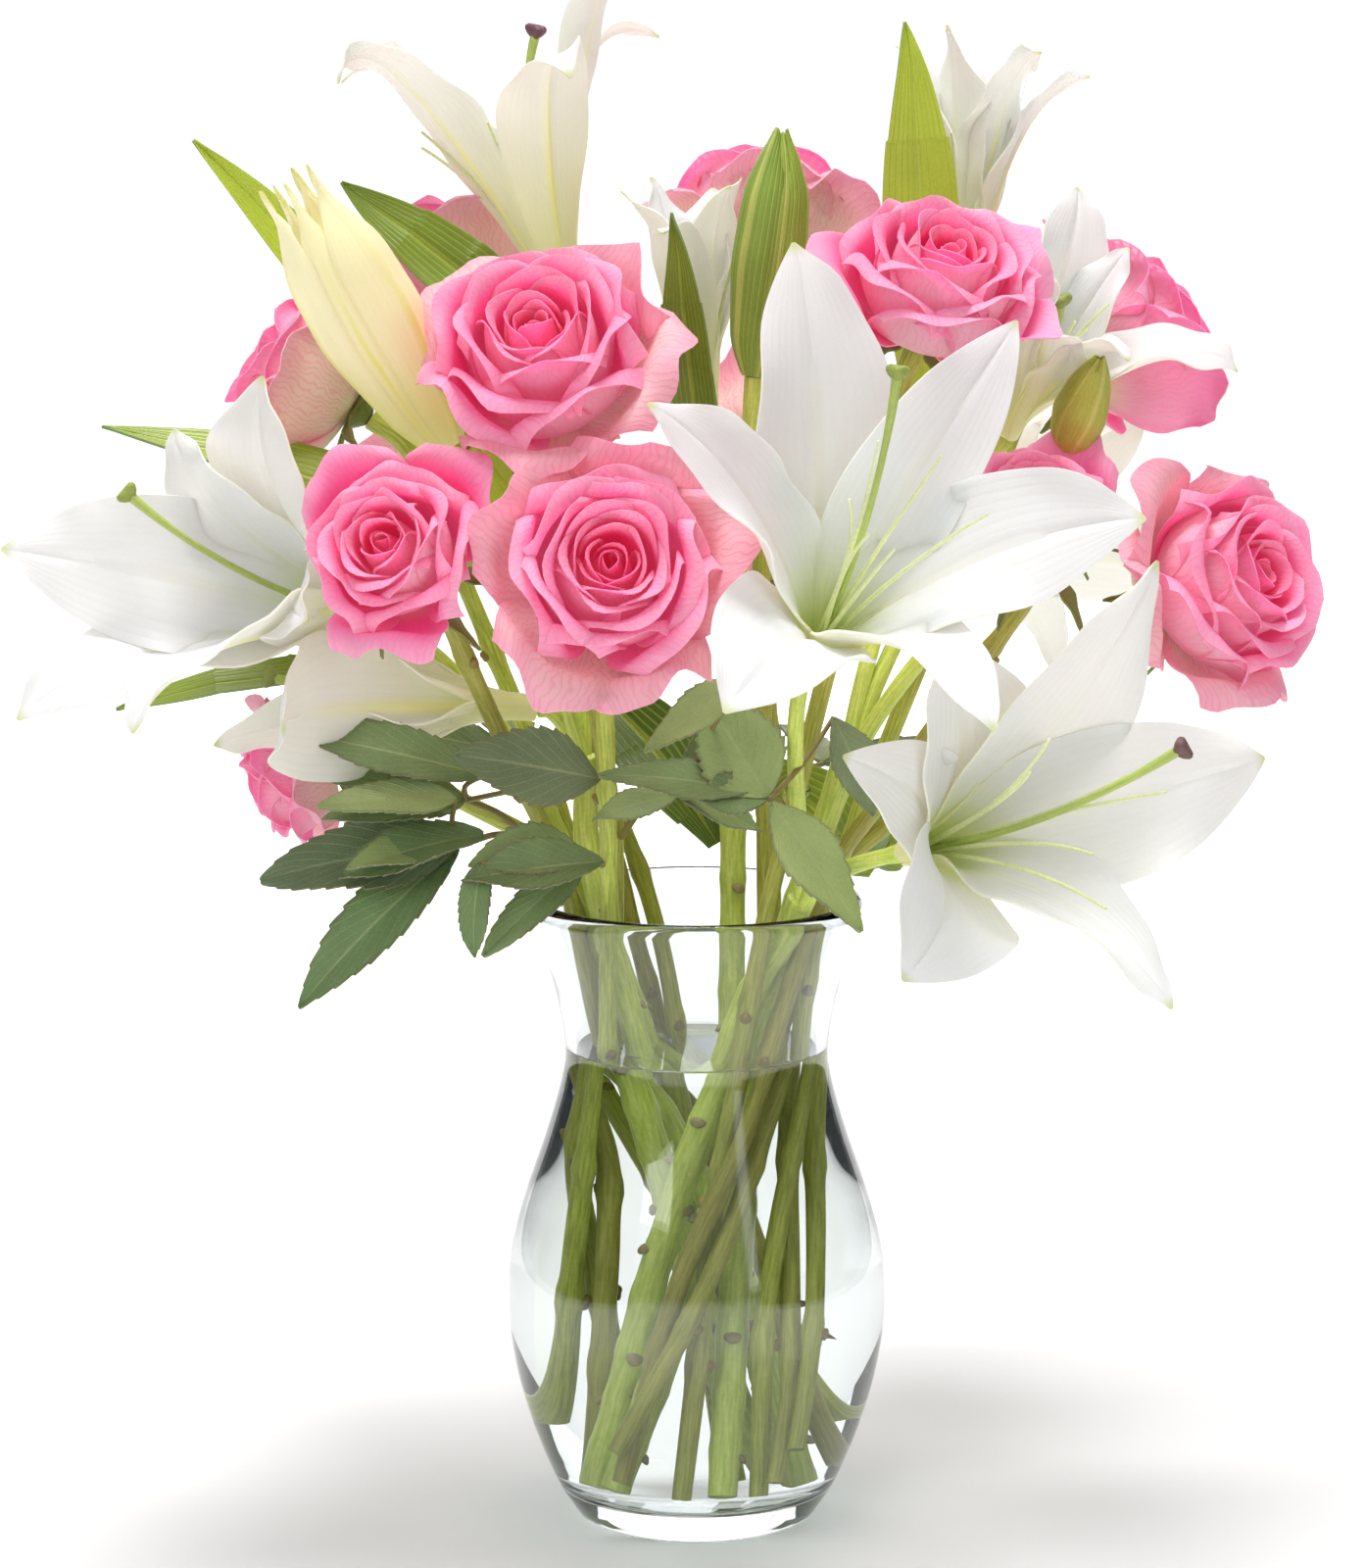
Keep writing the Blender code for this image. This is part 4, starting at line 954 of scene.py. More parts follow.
budFinishes = [
    bladeFinish("green bud", {"dark": seen(96, 134, 30), "light": seen(170, 194, 70),
                              "rib": seen(226, 226, 130), "roughness": 0.42}),
    # the cream bud's last value is an emission strength: a painted glow that stands in for light through its
    # tepals
    tepalFinish("cream bud", {
        "cool": seen(240, 230, 168), "warm": seen(244, 238, 200), "rib": seen(222, 222, 120),
        "ribShare": 0.9, "throat": seen(210, 214, 120), "throatEnd": 0.45, "throatShare": 0.7,
        "tip": seen(206, 204, 110), "groove": seen(214, 208, 140), "through": 0.16}),
    bladeFinish("yellow bud", {"dark": seen(150, 172, 50), "light": seen(206, 208, 92),
                               "rib": seen(232, 226, 140), "roughness": 0.42})]


# a closed bud: three keeled tepals over three narrower ones, meeting in a blunt tip
def makeBud(name, look):
    axis = unit(look["facing"])
    base, radius = headPlace(nodePoints[name], axis, 0.0006)
    length = np.ptp(nodePoints[name] @ axis)
    axes = flowerAxes(look["facing"])
    piece = newPiece()
    rows, cols = 40, 21
    along, across = sheetShares(rows, cols)
    body = np.interp(along, look["along"], look["swell"]) * radius
    body = np.convolve(np.pad(body[:, 0], 2, mode="edge"), np.ones(5) / 5, mode="valid")[:, None]
    body[0] = look["swell"][0] * radius
    for k in range(6):
        outer = k < 3
        middle = math.tau * (k % 3) / 3 + (0 if outer else math.tau / 6) + look["turn"]
        angle = across * (0.92 if outer else 0.62) * (1 - look["taper"] * smoothstep(0.66, 1, along))
        size = body * (1.0 if outer else 0.93)
        keel = 0.10 * np.exp(-(across / 0.13) ** 2) if outer else 0.0
        seam = 0.10 * np.abs(across) ** 3
        flare = look["flare"] * radius * smoothstep(0.86, 1, along) * (1 if outer else 0.6)
        around = size * (1 + keel - seam) + flare
        high = along * length * (1.0 if outer else 0.985) \
            - 0.006 * np.abs(across) ** 2 * smoothstep(0.8, 1, along)
        turn = middle + angle + look["wring"] * along
        sheet = np.stack((around * np.cos(turn), around * np.sin(turn), np.broadcast_to(high, turn.shape)),
                         axis=2)
        addSheet(piece, sheet @ axes.T + base, 0.0008, (look["finish"], look["finish"]),
                 tint=0.35 + 0.3 * (k % 2))
    obj = makeObject("bud." + name, piece, budFinishes)
    return finishPiece(obj, "bud", name)


buds = {
    "bud_1": {"facing": (0.10, 0.02, 0.99), "finish": 0, "turn": 0.5, "wring": 0.35,
              "along": (0, 0.12, 0.45, 0.75, 0.93, 1), "swell": (0.34, 0.80, 1.04, 0.90, 0.44, 0.10)},
    "bud_2": {"facing": (0.28, -0.24, 0.93), "finish": 2, "turn": 0.2, "wring": 0.5,
              "along": (0, 0.12, 0.40, 0.72, 0.92, 1), "swell": (0.45, 0.86, 1.02, 0.76, 0.40, 0.12)},
    "bud_3": {"facing": (-0.50, -0.12, 0.86), "finish": 1, "turn": 0.9, "wring": 0.3,
              "flare": 0.30, "taper": 0.86,
              "along": (0, 0.10, 0.45, 0.70, 0.90, 1), "swell": (0.32, 0.62, 1.02, 0.96, 0.52, 0.22)}}
for key, look in buds.items():
    makeBud(key, {"flare": 0.0, "taper": 0.0, **look})
print("buds made")


stemFinishes = [
    stemFinish("rose stem", (158, 178, 60), (216, 224, 106), (126, 84, 52), 0.45),
    stemFinish("rose prickle", (120, 78, 48), (170, 120, 80), (96, 60, 40), 0.5),
    stemFinish("stem cut end", (176, 178, 128), (206, 204, 160), (140, 130, 84), 0.7)]
lilyStemFinishes = [
    stemFinish("lily stem", (184, 212, 76), (230, 242, 130), (132, 120, 66), 0.40),
    stemFinish("lily stem scar", (140, 134, 84), (176, 170, 112), (120, 96, 60), 0.6),
    stemFinishes[2]]


# the middle line and radius of a packed tube, read ring by ring from its lowest end
def tubeLine(key):
    mesh = nodes[key].data
    raw = nodePoints[key]
    _, first, back = np.unique(np.round(raw / 1e-5).astype(np.int64), axis=0, return_index=True,
                               return_inverse=True)
    back = back.ravel()
    points = raw[first]
    near = [set() for _ in points]
    for a, b in (edge.vertices for edge in mesh.edges):
        a, b = back[a], back[b]
        near[a].add(b)
        near[b].add(a)
    # the first ring is the eight points of the lowest end
    lowest = points[points[:, 2].argmin()]
    ring = set(np.argsort(np.linalg.norm(points - lowest, axis=1))[:8].tolist())
    met = set(ring)
    line, radii = [], []
    while len(ring) == 8:
        middle = points[list(ring)].mean(axis=0)
        line.append(middle)
        radii.append(np.linalg.norm(points[list(ring)] - middle, axis=1).mean())
        ring = set().union(*(near[p] for p in ring)) - met
        met |= ring
    return np.array(line), float(np.median(radii))


# a stem's radii, swollen at its nodes and a little uneven
def stemRadii(count, radius, nodesAt, swell, chance):
    share = np.linspace(0, 1, count)
    radii = np.full(count, radius)
    for spot in nodesAt:
        radii = radii + radius * swell * np.exp(-((share - spot) / 0.012) ** 2)
    radii = radii * (1 + 0.03 * np.sin(share * 23 + chance.uniform(0, 6)))
    return radii


# a small stub on a stem's skin: a leaf's scar beside a node
def addScar(piece, fine, frames, at, turn, radius, look):
    forward, side, other = frames
    way = side[at] * math.cos(turn) + other[at] * math.sin(turn)
    root = fine[at] + way * radius * look["depth"]
    tip = root + way * radius * look["out"] + forward[at] * radius * look["up"]
    middle = (root + tip) / 2 + forward[at] * radius * look["bow"]
    addTube(piece, resample([root, middle, tip], len(look["widths"])), np.array(look["widths"]) * radius,
            look["finish"], around=10, tint=look["tint"])


# from one node to the next a scar turns this far round the stem, in radians
scarTurn = 2.4
roseSteps, lilySteps = 90, 80
roseScar = {"depth": 0.75, "out": 0.62, "up": 0.5, "bow": 0.1, "widths": (0.62, 0.58, 0.5, 0.40, 0.26),
            "finish": 0, "tint": 0.75}
roseLines = {}
for k in range(1, 14):
    key = "rose_stem_%d" % k
    chance = np.random.default_rng(200 + k)
    line, radius = tubeLine(key)
    roseLines[key] = line
    fine = resample(line, roseSteps)
    nodesAt = np.arange(0.09 + 0.05 * chance.random(), 0.93, 0.155)
    piece = newPiece()
    radii = stemRadii(roseSteps, radius * 0.88, nodesAt, 0.26, chance)
    radii[-6:] *= np.linspace(1.0, 1.25, 6)
    addTube(piece, fine, radii, 0, around=14, tint=chance.uniform(0, 0.5), dome=0.05)
    frames = lineFrames(fine)
    for place, spot in enumerate(nodesAt):
        turn = place * scarTurn + chance.uniform(-0.4, 0.4)
        addScar(piece, fine, frames, int(spot * (roseSteps - 1)), turn, radius, roseScar)
    obj = makeObject("stem." + key, piece, stemFinishes)
    mesh = runTree(obj, prickles, {"Density": 260.0, "Length": 0.0034, "Width": 0.0009, "Seed": 60 + k,
                                   "Material": stemFinishes[1]})
    addMesh(obj, mesh)
    finishPiece(obj, "rose_stem", key)
print("rose stems made")

# the flowers and buds that each lily stem's stalks carry, in order
lilyStems = {
    "lily_stem_1": ("lily_1", "lily_2"), "lily_stem_2": ("lily_4", "bud_3", "lily_9"),
    "lily_stem_3": ("lily_3",), "lily_stem_4": ("lily_6", "lily_8", "bud_2"),
    "lily_stem_5": ("lily_7", "bud_1", "lily_10")}


# seat and facing of the flower or bud that a stalk carries
def carried(key):
    axis = unit((lilies.get(key) or buds.get(key))["facing"])
    return seatOf(nodePoints[key], axis, 0.0005), axis


def stalkRoute(fork, seat, axis, place):
    end = seat - axis * 0.6 * mm
    start = fork - np.array((0, 0, (2.4 + 1.3 * place) * mm))
    gap = np.linalg.norm(end - start)
    lean = (np.array((0, 0, 1.0)) + unit(end - start)) * 0.5
    return bezier([start, start + lean * gap * 0.3, end - axis * gap * 0.3, end], np.linspace(0, 1, 24))


lilyScar = {"depth": 0.86, "out": 0.20, "up": 0.16, "bow": 0, "widths": (0.5, 0.52, 0.46, 0.3),
            "finish": 1, "tint": 0.3}
for key, flowers in lilyStems.items():
    chance = np.random.default_rng(len(key) + ord(key[-1]))
    line, radius = tubeLine(key)
    fork = line[-1]
    fine = resample(line, lilySteps)
    nodesAt = np.arange(0.06, 0.95, 0.075)
    piece = newPiece()
    radii = stemRadii(lilySteps, radius * 0.90, nodesAt, 0.10, chance)
    radii[-5:] *= np.linspace(1.0, 1.12, 5)
    addTube(piece, fine, radii, 0, around=18, tint=0.1, dome=0.25)
    frames = lineFrames(fine)
    for place, spot in enumerate(nodesAt):
        addScar(piece, fine, frames, int(spot * (lilySteps - 1)), place * scarTurn, radius, lilyScar)
    for place, flower in enumerate(flowers):
        seat, axis = carried(flower)
        route = stalkRoute(fork, seat, axis, place)
        size = np.linspace(2.75, 2.45, 24) * mm
        size[-4:] += np.linspace(0, 0.75, 4) * mm
        addTube(piece, route, size, 0, around=14, tint=0.05, dome=0.5)
    finishPiece(makeObject("stem." + key, piece, lilyStemFinishes), "lily_stem", key)
print("lily stems made")


lilyLeafFinishes = [
    bladeFinish("lily leaf top", {"dark": seen(54, 92, 26), "light": seen(190, 208, 60),
                                  "rib": seen(206, 220, 104), "roughness": 0.36}),
    bladeFinish("lily leaf back", {"dark": seen(92, 122, 62), "light": seen(138, 164, 88),
                                   "rib": seen(170, 190, 122), "roughness": 0.50})]


# the line of a packed blade from its root to its tip; rootNear is a point near its root
def bladeLine(key, rootNear, count=9):
    points = nodePoints[key]
    middle = points.mean(axis=0)
    first = points[np.linalg.norm(points - middle, axis=1).argmax()]
    second = points[np.linalg.norm(points - first, axis=1).argmax()]
    if np.linalg.norm(first - rootNear) > np.linalg.norm(second - rootNear):
        first, second = second, first
    way = unit(second - first)
    reach = (points - first) @ way
    whole = reach.max()
    spots = []
    for k in range(1, count):
        band = points[np.abs(reach - whole * k / count) < whole * 0.75 / count]
        if len(band) > 3:
            spots.append((band.min(axis=0) + band.max(axis=0)) / 2)
    return np.array([first] + spots + [second])


# a blade along a line: half its greatest width, how it folds, waves and twists
def bladeSheet(line, facing, look, rows=44, cols=13):
    line = resample(line, rows)
    along, across = sheetShares(rows, cols)
    forward = unitRows(np.gradient(line, axis=0))
    side = unitRows(np.cross(forward, unit(facing)))
    up = np.cross(side, forward)
    rise = smoothstep(-0.05, look["widest"], along) ** 0.7
    fall = (1 - np.clip((along - look["widest"]) / (1 - look["widest"]), 0, 1) ** 1.9) ** 0.9
    half = look["half"] * (0.16 + 0.84 * rise) * fall + 0.3 * mm
    lift = half * (look["fold"] * np.abs(across) ** 1.5 * (1 - 0.4 * along)) - half * 0.10 * np.exp(
        -(across / 0.09) ** 2)
    lift = lift + look["wave"] * np.abs(across) ** 2 * np.sin(along * 11 + look["phase"] + np.sign(across)) \
        - 0.12 * mm * np.cos(across * 20)
    sideShare, upShare = twisted(across * half, lift, look["twist"] * along)
    return line[:, None] + side[:, None] * sideShare[..., None] + up[:, None] * upShare[..., None]


lilyLeaves = {
    "lily_leaf_1": {"half": 11, "facing": (0.5, -1.4, 0.1), "root": (-56, -12, 300), "fold": 0.28,
                    "twist": 0.2, "tint": 0.95},
    "lily_leaf_2": {"half": 12.5, "facing": (0.1, -1, 0.1), "root": (84, 30, 352), "fold": 0.22,
                    "twist": -0.1, "tint": 1.0},
    "lily_leaf_3": {"half": 8, "facing": (-0.2, -1, 0.1), "root": (2, 5, 330), "fold": 0.35,
                    "twist": 0.3, "tint": 0.30},
    "lily_leaf_4": {"half": 11, "facing": (-0.3, -0.7, 0.6), "root": (-40, 20, 368), "fold": 0.3,
                    "twist": 0.2, "tint": 0.35},
    "lily_leaf_5": {"half": 14, "facing": (0.2, -0.6, 0.8), "root": (-40, 10, 290), "fold": 0.3,
                    "twist": -0.2, "tint": 0.50},
    "lily_leaf_6": {"half": 9, "facing": (0, -0.3, 1), "root": (-90, 0, 266), "fold": 0.35,
                    "twist": 0.2, "tint": 0.45},
    "lily_leaf_7": {"half": 14, "facing": (0.2, -0.8, 0.5), "root": (12, 18, 230), "fold": 0.25,
                    "twist": 0.1, "tint": 0.40},
    "lily_leaf_8": {"half": 13, "facing": (-0.1, -0.8, 0.5), "root": (10, 20, 214), "fold": 0.3,
                    "twist": 0.0, "tint": 0.10}}
for key, look in lilyLeaves.items():
    chance = np.random.default_rng(ord(key[-1]))
    line = bladeLine(key, np.array(look["root"]) * mm)
    form = {"widest": 0.46, "half": look["half"] * mm, "fold": look["fold"], "twist": look["twist"],
            "wave": chance.uniform(0.4, 1.1) * mm, "phase": chance.uniform(0, 6)}
    piece = newPiece()
    addSheet(piece, bladeSheet(line, look["facing"], form), 0.8 * mm, (0, 1), tint=look["tint"])
    finishPiece(makeObject("leaf." + key, piece, lilyLeafFinishes), "lily_leaf", key)
print("lily leaves made")


roseLeafFinishes = [
    leafletFinish("rose leaf top", {"dark": seen(104, 134, 84), "light": seen(164, 184, 118),
                                    "rib": seen(172, 186, 130), "margin": seen(104, 84, 60),
                                    "marginShare": 0.55, "veinShare": 0.32, "roughness": 0.40}),
    leafletFinish("rose leaf back", {"dark": seen(104, 124, 88), "light": seen(132, 152, 112),
                                     "rib": seen(160, 172, 130), "margin": seen(126, 110, 84),
                                     "marginShare": 0.40, "veinShare": 0.45, "roughness": 0.62}),
    stemFinish("rose leaf stalk", (96, 112, 52), (146, 152, 84), (150, 92, 66), 0.5)]


# an ovate leaflet with a saw-toothed edge, a folded midrib and quilted flesh between its veins
def leafletSheet(root, tip, half, facing, look, rows=61, cols=17):
    way = tip - root
    length = np.linalg.norm(way)
    side = unit(np.cross(way, facing))
    up = unit(np.cross(side, way))
    bow = up * length * look["bow"]
    line = resample(bezier([root, root + way * 0.33 + bow, root + way * 0.70 + bow * 1.1, tip],
                           np.linspace(0, 1, 12)), rows)
    along, across = sheetShares(rows, cols)
    rise = np.sin(math.pi / 2 * np.clip(along / 0.40, 0, 1)) ** 0.75
    fall = (1 - np.clip((along - 0.40) / 0.60, 0, 1) ** 1.75) ** 0.95
    teeth = 11
    saw = (along * teeth) % 1.0
    tooth = 0.13 * (saw - 0.5) * smoothstep(0.06, 0.2, along) * (1 - 0.3 * along)
    width = half * (rise * fall + 0.01) * (1 + tooth * np.abs(across) ** 6) + 0.2 * mm
    shift = 0.012 * length * np.abs(across) ** 6 * saw
    forward = unitRows(np.gradient(line, axis=0))
    sides = unitRows(np.cross(forward, up))
    ups = np.cross(sides, forward)
    veinRows = np.abs(((along - 0.75 * (np.abs(across) * 0.5) ** 0.8) * 9) % 1 - 0.5)
    quilt = look["quilt"] * (0.5 - np.cos(veinRows * math.pi) * 0.5) * np.sin(math.pi * np.abs(across)) ** 0.7
    lift = width * look["fold"] * np.abs(across) ** 1.3 + quilt \
        + look["wave"] * across ** 2 * np.sin(along * 9 + look["phase"] + 1.5 * np.sign(across))
    sideShare, upShare = twisted(across * width, lift, look["twist"] * along)
    return (line[:, None] + sides[:, None] * sideShare[..., None] + ups[:, None] * upShare[..., None]
            + forward[:, None] * shift[..., None])


def nearestPoint(key, rough):
    points = nodePoints[key]
    return points[np.linalg.norm(points - np.array(rough) * mm, axis=1).argmin()]


# one leaflet of a leaf, with its own bow, fold, wave and twist; a turned one shows its pale back
def addLeaflet(piece, root, tip, half, facing, turned, chance, mostBow):
    form = {"bow": chance.uniform(0.03, mostBow), "fold": chance.uniform(0.10, 0.35),
            "quilt": 0.7 * mm, "wave": chance.uniform(0.5, 1.6) * mm, "phase": chance.uniform(0, 6),
            "twist": chance.uniform(-0.35, 0.35)}
    sheet = leafletSheet(root, tip, half, facing, form)
    addSheet(piece, sheet, 0.55 * mm, (1, 0) if turned else (0, 1), tint=chance.random())


# holder, where its stalk starts, where it ends, and each leaflet's tip, width, way it faces and
# whether it is turned
roseLeaves = {
    "rose_leaf_1": {"start": 214, "holder": "rose_stem_11", "end": (-74, -42, 228), "leaflets": (
        ((-123, -60, 180), 19, (-0.3, -0.7, 0.6), 0), ((-136, -40, 216), 25, (-0.2, -0.8, 0.6), 1),
        ((-107, -68, 225), 15, (-0.1, -0.5, 0.9), 0))},
    "rose_leaf_2": {"start": 228, "holder": "rose_stem_2", "end": (-72, -32, 240), "leaflets": (
        ((-122, -40, 249), 19, (0.1, -0.5, 0.8), 0), ((-115, -58, 238), 15, (0.1, -0.7, 0.7), 0))},
    "rose_leaf_3": {"start": 212, "holder": "rose_stem_3", "end": (-34, -54, 226), "leaflets": (
        ((-70, -60, 224), 19, (0.0, -0.6, 0.8), 0), ((-66, -64, 197), 12, (-0.4, -0.8, 0.3), 0))},
    "rose_leaf_4": {"start": 224, "holder": "rose_stem_4", "end": (22, -64, 246), "leaflets": (
        ((50, -76, 207), 17, (0.3, -0.9, 0.3), 0), ((2, -58, 277), 24, (0.1, -0.9, 0.3), 0),
        ((-3, -70, 248), 12, (0.0, -0.7, 0.7), 0))},
    "rose_leaf_5": {"start": 232, "holder": "rose_stem_1", "end": (-6, -52, 246), "leaflets": (
        ((20, -54, 234), 10, (0.0, -0.7, 0.7), 0), ((-32, -66, 240), 10, (0.0, -0.7, 0.7), 0),
        ((8, -42, 273), 10, (0.5, -0.8, 0.2), 0))},
    "rose_leaf_6": {"start": 222, "holder": "rose_stem_13", "end": (-58, 58, 240), "leaflets": (
        ((-104, 74, 222), 26, (-0.4, 0.3, 0.9), 0), ((-78, 98, 252), 20, (-0.2, 0.5, 0.9), 0),
        ((-104, 44, 250), 20, (-0.3, -0.5, 0.8), 0))},
    "rose_leaf_7": {"start": 222, "holder": "rose_stem_12", "end": (42, 66, 236), "leaflets": (
        ((78, 98, 214), 26, (0.4, 0.4, 0.8), 0), ((26, 104, 244), 20, (0.0, 0.5, 0.9), 0),
        ((92, 62, 244), 20, (0.4, 0.1, 0.9), 0))}}
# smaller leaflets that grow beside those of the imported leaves: base, tip, width, way it faces
extraLeaflets = {
    "rose_leaf_1": (((-74, -54, 244), (-116, -62, 243), 17, (-0.1, -0.6, 0.8), 0),
                    ((-66, -50, 232), (-110, -58, 220), 18, (-0.1, -0.5, 0.85), 0)),
    "rose_leaf_2": (((-66, -45, 250), (-126, -50, 264), 21, (0.1, -0.7, 0.7), 0),
                    ((-30, -58, 251), (-74, -62, 259), 24, (0.1, -0.8, 0.5), 1)),
    "rose_leaf_3": (((-29, -62, 226), (-72, -67, 221), 19, (0.0, -0.7, 0.7), 0),
                    ((-66, -64, 226), (-68, -70, 198), 11, (-0.3, -0.9, 0.2), 0)),
    "rose_leaf_4": (((42, -44, 268), (54, -50, 238), 15, (0.5, -0.8, 0.2), 1),),
    "rose_leaf_5": (((16, -64, 248), (-30, -70, 254), 13, (0.0, -0.7, 0.7), 0),
                    ((14, -68, 284), (-16, -74, 262), 12, (0.1, -0.8, 0.5), 0))}
for key, look in roseLeaves.items():
    chance = np.random.default_rng(90 + ord(key[-1]))
    piece = newPiece()
    holder = roseLines[look["holder"]]
    start = holder[np.abs(holder[:, 2] - look["start"] * mm).argmin()]
    start = nearestPoint(key, start / mm)
    end = nearestPoint(key, look["end"])
    bent = (start + end) / 2 + np.array((0, 0, 0.10 * np.linalg.norm(end - start)))
    addTube(piece, resample([start, bent, end], 14), np.linspace(1.25, 0.95, 14) * mm, 2, around=10,
            tint=0.35)
    for rough, wide, facing, turned in look["leaflets"]:
        tip = nearestPoint(key, rough)
        addLeaflet(piece, end + (tip - end) * 0.02, tip, wide * 0.56 * mm, facing, turned, chance, 0.10)
    for base, tipAt, wide, facing, turned in extraLeaflets.get(key, ()):
        base, tipAt = np.array(base) * mm, np.array(tipAt) * mm
        addLeaflet(piece, base, tipAt, wide * 0.5 * mm, facing, turned, chance, 0.12)
        joint = resample([end, (end + base) / 2 + (tipAt - base) * 0.05, base], 10)
        addTube(piece, joint, np.linspace(0.95, 0.75, 10) * mm, 2, around=8, tint=0.35)
    finishPiece(makeObject("leaf." + key, piece, roseLeafFinishes), "rose_leaf", key)
print("rose leaves made")


# clear body: glass or water, which lets light through to what stands in it
def clearFinish(name, tint, ior, shadowTint, rippleScale, rippleHeight):
    finish, tree, shader, place, _ = newFinish(name)
    shader.inputs["Base Color"].default_value = (*tint, 1)
    shader.inputs["Roughness"].default_value = 0.0
    shader.inputs["IOR"].default_value = ior
    shader.inputs["Transmission Weight"].default_value = 1.0
    through = addNode(tree, "ShaderNodeBsdfTransparent", {"Color": (*shadowTint, 1)})
    path = tree.nodes.new("ShaderNodeLightPath")
    both = addNode(tree, "ShaderNodeMixShader", {0: path.outputs["Is Shadow Ray"], 1: shader.outputs[0],
                                                 2: through.outputs[0]})
    out = next(node for node in tree.nodes if node.type == "OUTPUT_MATERIAL")
    tree.links.new(both.outputs[0], out.inputs[0])
    addBump(tree, shader, noiseNode(tree, place, rippleScale, 1.0), rippleHeight, 0.002)
    return finish


glassFinish = clearFinish("clear glass", (0.915, 0.94, 0.94), 1.50, (0.93, 0.96, 0.95), 22.0, 0.05)
waterFinish = clearFinish("water", (0.985, 0.997, 0.992), 1.33, (0.97, 0.985, 0.98), 30.0, 0.03)

vase = {"height": 204, "floor": 11, "wallLow": 4.2, "wallHigh": 3.2,
        "outside": ((3, 40.5), (12, 46), (29, 53), (46, 58), (62, 60.8), (75, 61.3), (89, 60), (107, 55.2),
                    (127, 48.4), (145, 43.4), (156, 42.5), (173, 45.4), (189, 50.2), (201, 53))}
outside = resample([(r * mm, 0, h * mm) for h, r in vase["outside"]], 120)[:, [0, 2]]


def outsideRadius(height):
    return np.interp(height, outside[:, 1], outside[:, 0])


def insideRadius(height):
    share = np.clip(height / (vase["height"] * mm), 0, 1)
    return outsideRadius(height) - (vase["wallLow"] + (vase["wallHigh"] - vase["wallLow"]) * share) * mm


# the closed outline of the glass, from the middle of its inner floor, up, over the rim and down
def vaseProfile():
    floor = vase["floor"] * mm
    low = floor + 9 * mm
    high = 199.5 * mm
    corner = insideRadius(low)
    rows = [(0, floor + 1.2 * mm), (corner * 0.35, floor + 0.9 * mm), (corner * 0.62, floor + 0.5 * mm)]
    turn = np.linspace(0, math.pi / 2, 12)
    rows += [(corner - 11 * mm + 11 * mm * math.sin(a), low - 9 * mm * math.cos(a)) for a in turn]
    rows += [(insideRadius(height), height) for height in np.linspace(low + 2 * mm, high, 90)]
    rim = (outside[-1][0] + insideRadius(high)) / 2
    thick = (outside[-1][0] - insideRadius(high)) / 2
    for a in np.linspace(0.15 * math.pi, math.pi * 0.95, 12):
        rows.append((rim - thick * 1.12 * math.cos(a), (vase["height"] - 2.6) * mm + 2.6 * mm * math.sin(a)))
    rows += [(r, h) for r, h in outside[::-1] if h < 199.0 * mm]
    foot = ((39.4, 1.2), (37.6, 0.25), (36.0, 0), (33.0, 0), (30.0, 0.7), (18, 1.3), (0, 1.5))
    return np.array(rows + [(r * mm, h * mm) for r, h in foot])


piece = newPiece()
addTurned(piece, vaseProfile(), 144, 0)
glass = makeObject("vase", piece, [glassFinish], sharpAngle=80)
finishPiece(glass, "glass", "vase")

# the water reaches a hair into the glass, and climbs it in a fine meniscus
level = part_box("water")[1][2]
overlap = 0.08 * mm
edge = insideRadius(level)
rows = [(0, level), (edge - 6 * mm, level), (edge - 3 * mm, level + 0.10 * mm),
        (edge - 1.4 * mm, level + 0.40 * mm), (edge - 0.5 * mm, level + 0.85 * mm),
        (edge + overlap, level + 1.3 * mm)]
inner = vaseProfile()[:105]
inner = inner[inner[:, 1] < level]
rows += [(r + overlap * (r > 0.001), h - overlap) for r, h in inner[::-1]]
piece = newPiece()
addTurned(piece, np.array(rows), 144, 0)
water = makeObject("water", piece, [waterFinish], sharpAngle=80)
finishPiece(water, "water", "water")
print("vase and water made")


def flatFinish(name, colour, glow):
    finish = bpy.data.materials.new(name)
    finish.use_nodes = True
    shader = finish.node_tree.nodes["Principled BSDF"]
    for key, value in {"Base Color": (*colour, 1), "Roughness": 0.9, "Specular IOR Level": 0.1,
                       "Emission Color": (1, 1, 1, 1), "Emission Strength": glow}.items():
        shader.inputs[key].default_value = value
    return finish


# the floor is lit near the vase and fades to plain white far from it
floorFinish = flatFinish("floor", (0.95, 0.95, 0.95), 0.0)
tree = floorFinish.node_tree
spot = tree.nodes.new("ShaderNodeTexCoord").outputs["Object"]
away = addNode(tree, "ShaderNodeVectorMath", {0: spot}, operation="LENGTH").outputs["Value"]
seenPath = tree.nodes.new("ShaderNodeLightPath")
glow = addNode(tree, "ShaderNodeMath", {0: ramp(tree, away, 0.5, 1.5, 0.0, 0.7),
                                        1: seenPath.outputs["Is Camera Ray"]}, operation="MULTIPLY")
join(tree, glow.outputs[0], tree.nodes["Principled BSDF"], "Emission Strength")
piece = newPiece()
turn = np.linspace(0, math.tau, 65)
rings = np.linspace(0.0, 3.2, 9)[:, None]
disc = np.stack(np.broadcast_arrays(rings * np.cos(turn), rings * np.sin(turn), 0 * rings), axis=2)
addGrid(piece, disc, evenMap(9, 65), 0)
floor = makeObject("floor", piece, [floorFinish])

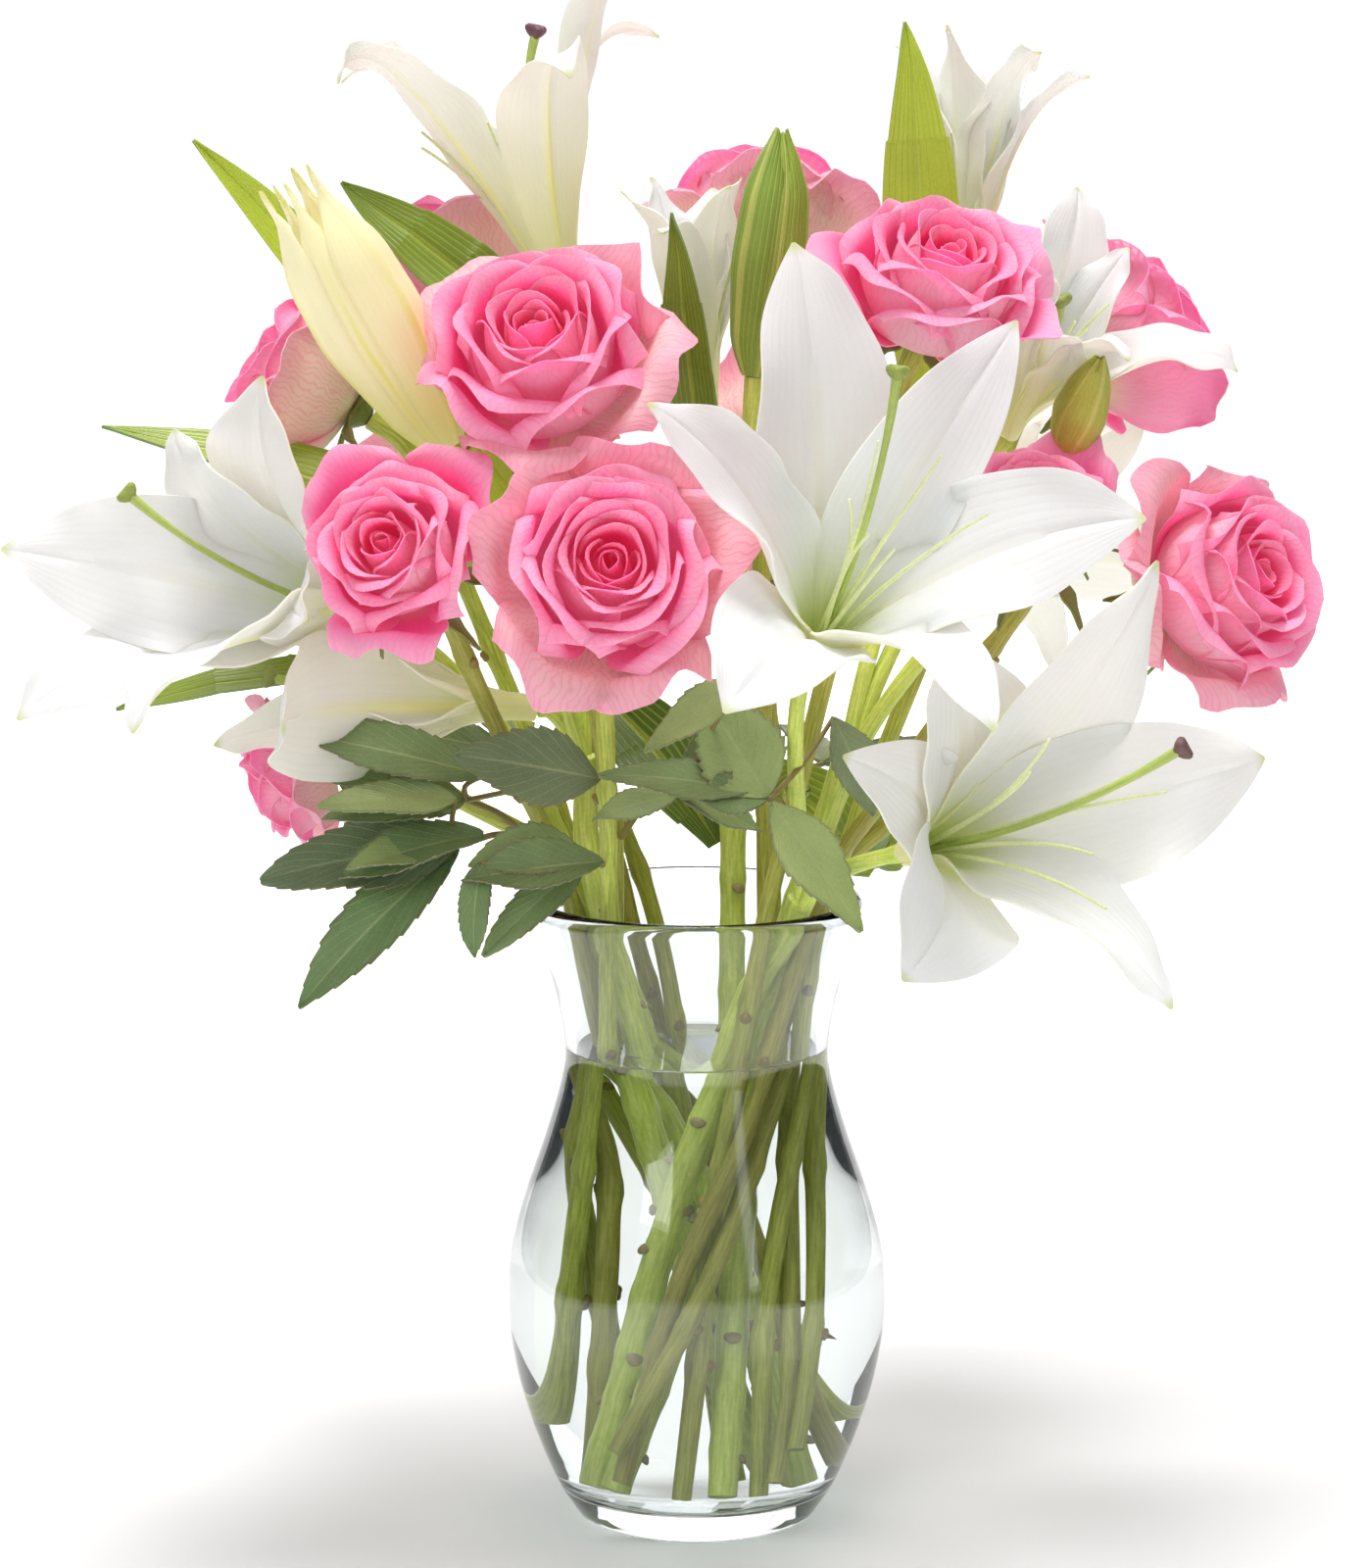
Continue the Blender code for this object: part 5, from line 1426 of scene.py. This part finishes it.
# a bright wall behind the bouquet lights it through the petals and the glass
piece = newPiece()
bend = np.linspace(0, math.pi / 2, 12)
outline = [(1.6 + 0.5 * math.sin(a), 0.5 - 0.5 * math.cos(a) + 0.003) for a in bend] + [(2.1, 2.4)]
wall = np.array([[(side * 1.5, y, z) for side in (-1, 1)] for y, z in outline])
addGrid(piece, wall, evenMap(len(outline), 2), 0)
backdrop = makeObject("backdrop", piece, [flatFinish("backdrop", (0.8, 0.8, 0.8), 0.72)])
backdrop.visible_camera = False

world = bpy.context.scene.world or bpy.data.worlds.new("world")
bpy.context.scene.world = world
world.use_nodes = True
sky = world.node_tree.nodes["Background"]
sky.inputs[0].default_value = (1.0, 1.0, 1.0, 1)
skyPath = world.node_tree.nodes.new("ShaderNodeLightPath")
join(world.node_tree, ramp(world.node_tree, skyPath.outputs["Is Camera Ray"], 0, 1, 0.32, 1.1), sky, 1)


def addLight(name, place, target, size, power):
    light = bpy.data.lights.new(name, "AREA")
    light.shape = "RECTANGLE"
    light.size, light.size_y = size
    light.energy = power
    obj = bpy.data.objects.new(name, light)
    bpy.context.scene.collection.objects.link(obj)
    obj.location = place
    way = np.array(target, float) - np.array(place, float)
    flat = math.hypot(way[0], way[1])
    obj.rotation_euler = (math.atan2(flat, -way[2]), 0, math.atan2(way[1], way[0]) - math.pi / 2)


addLight("top", (-0.06, -0.02, 3.0), (0, 0, 0.2), (1.2, 1.2), 72)
addLight("key", (-1.0, -1.5, 1.3), (0, 0, 0.3), (1.1, 1.1), 10)
addLight("fill", (1.3, -1.3, 0.8), (0, 0, 0.25), (0.9, 1.2), 4)

# dark boards beside the vase draw its outline in the glass; they are met by no other light
boards = newPiece()
for side in (-1, 1):
    board = np.array([[(side * 0.56, y, z) for y in (-0.7, 0.8)] for z in (-0.01, 0.95)])
    addGrid(boards, board, evenMap(2, 2), 0, flip=side > 0)
flags = makeObject("flags", boards, [flatFinish("flag", (0.03, 0.035, 0.035), 0.0)])
for ray in ("camera", "diffuse", "shadow"):
    setattr(flags, "visible_" + ray, False)

camera = bpy.data.cameras.new("camera")
camera.lens = 102
camera.sensor_width = 36
view = bpy.data.objects.new("camera", camera)
bpy.context.scene.collection.objects.link(view)
view.location = (-0.0047, -1.400, 0.470)
view.rotation_euler = (math.radians(90 - 9.33), 0, 0)
bpy.context.scene.camera = view
bpy.context.scene.view_settings.view_transform = "Standard"
bpy.context.scene.cycles.use_denoising = True
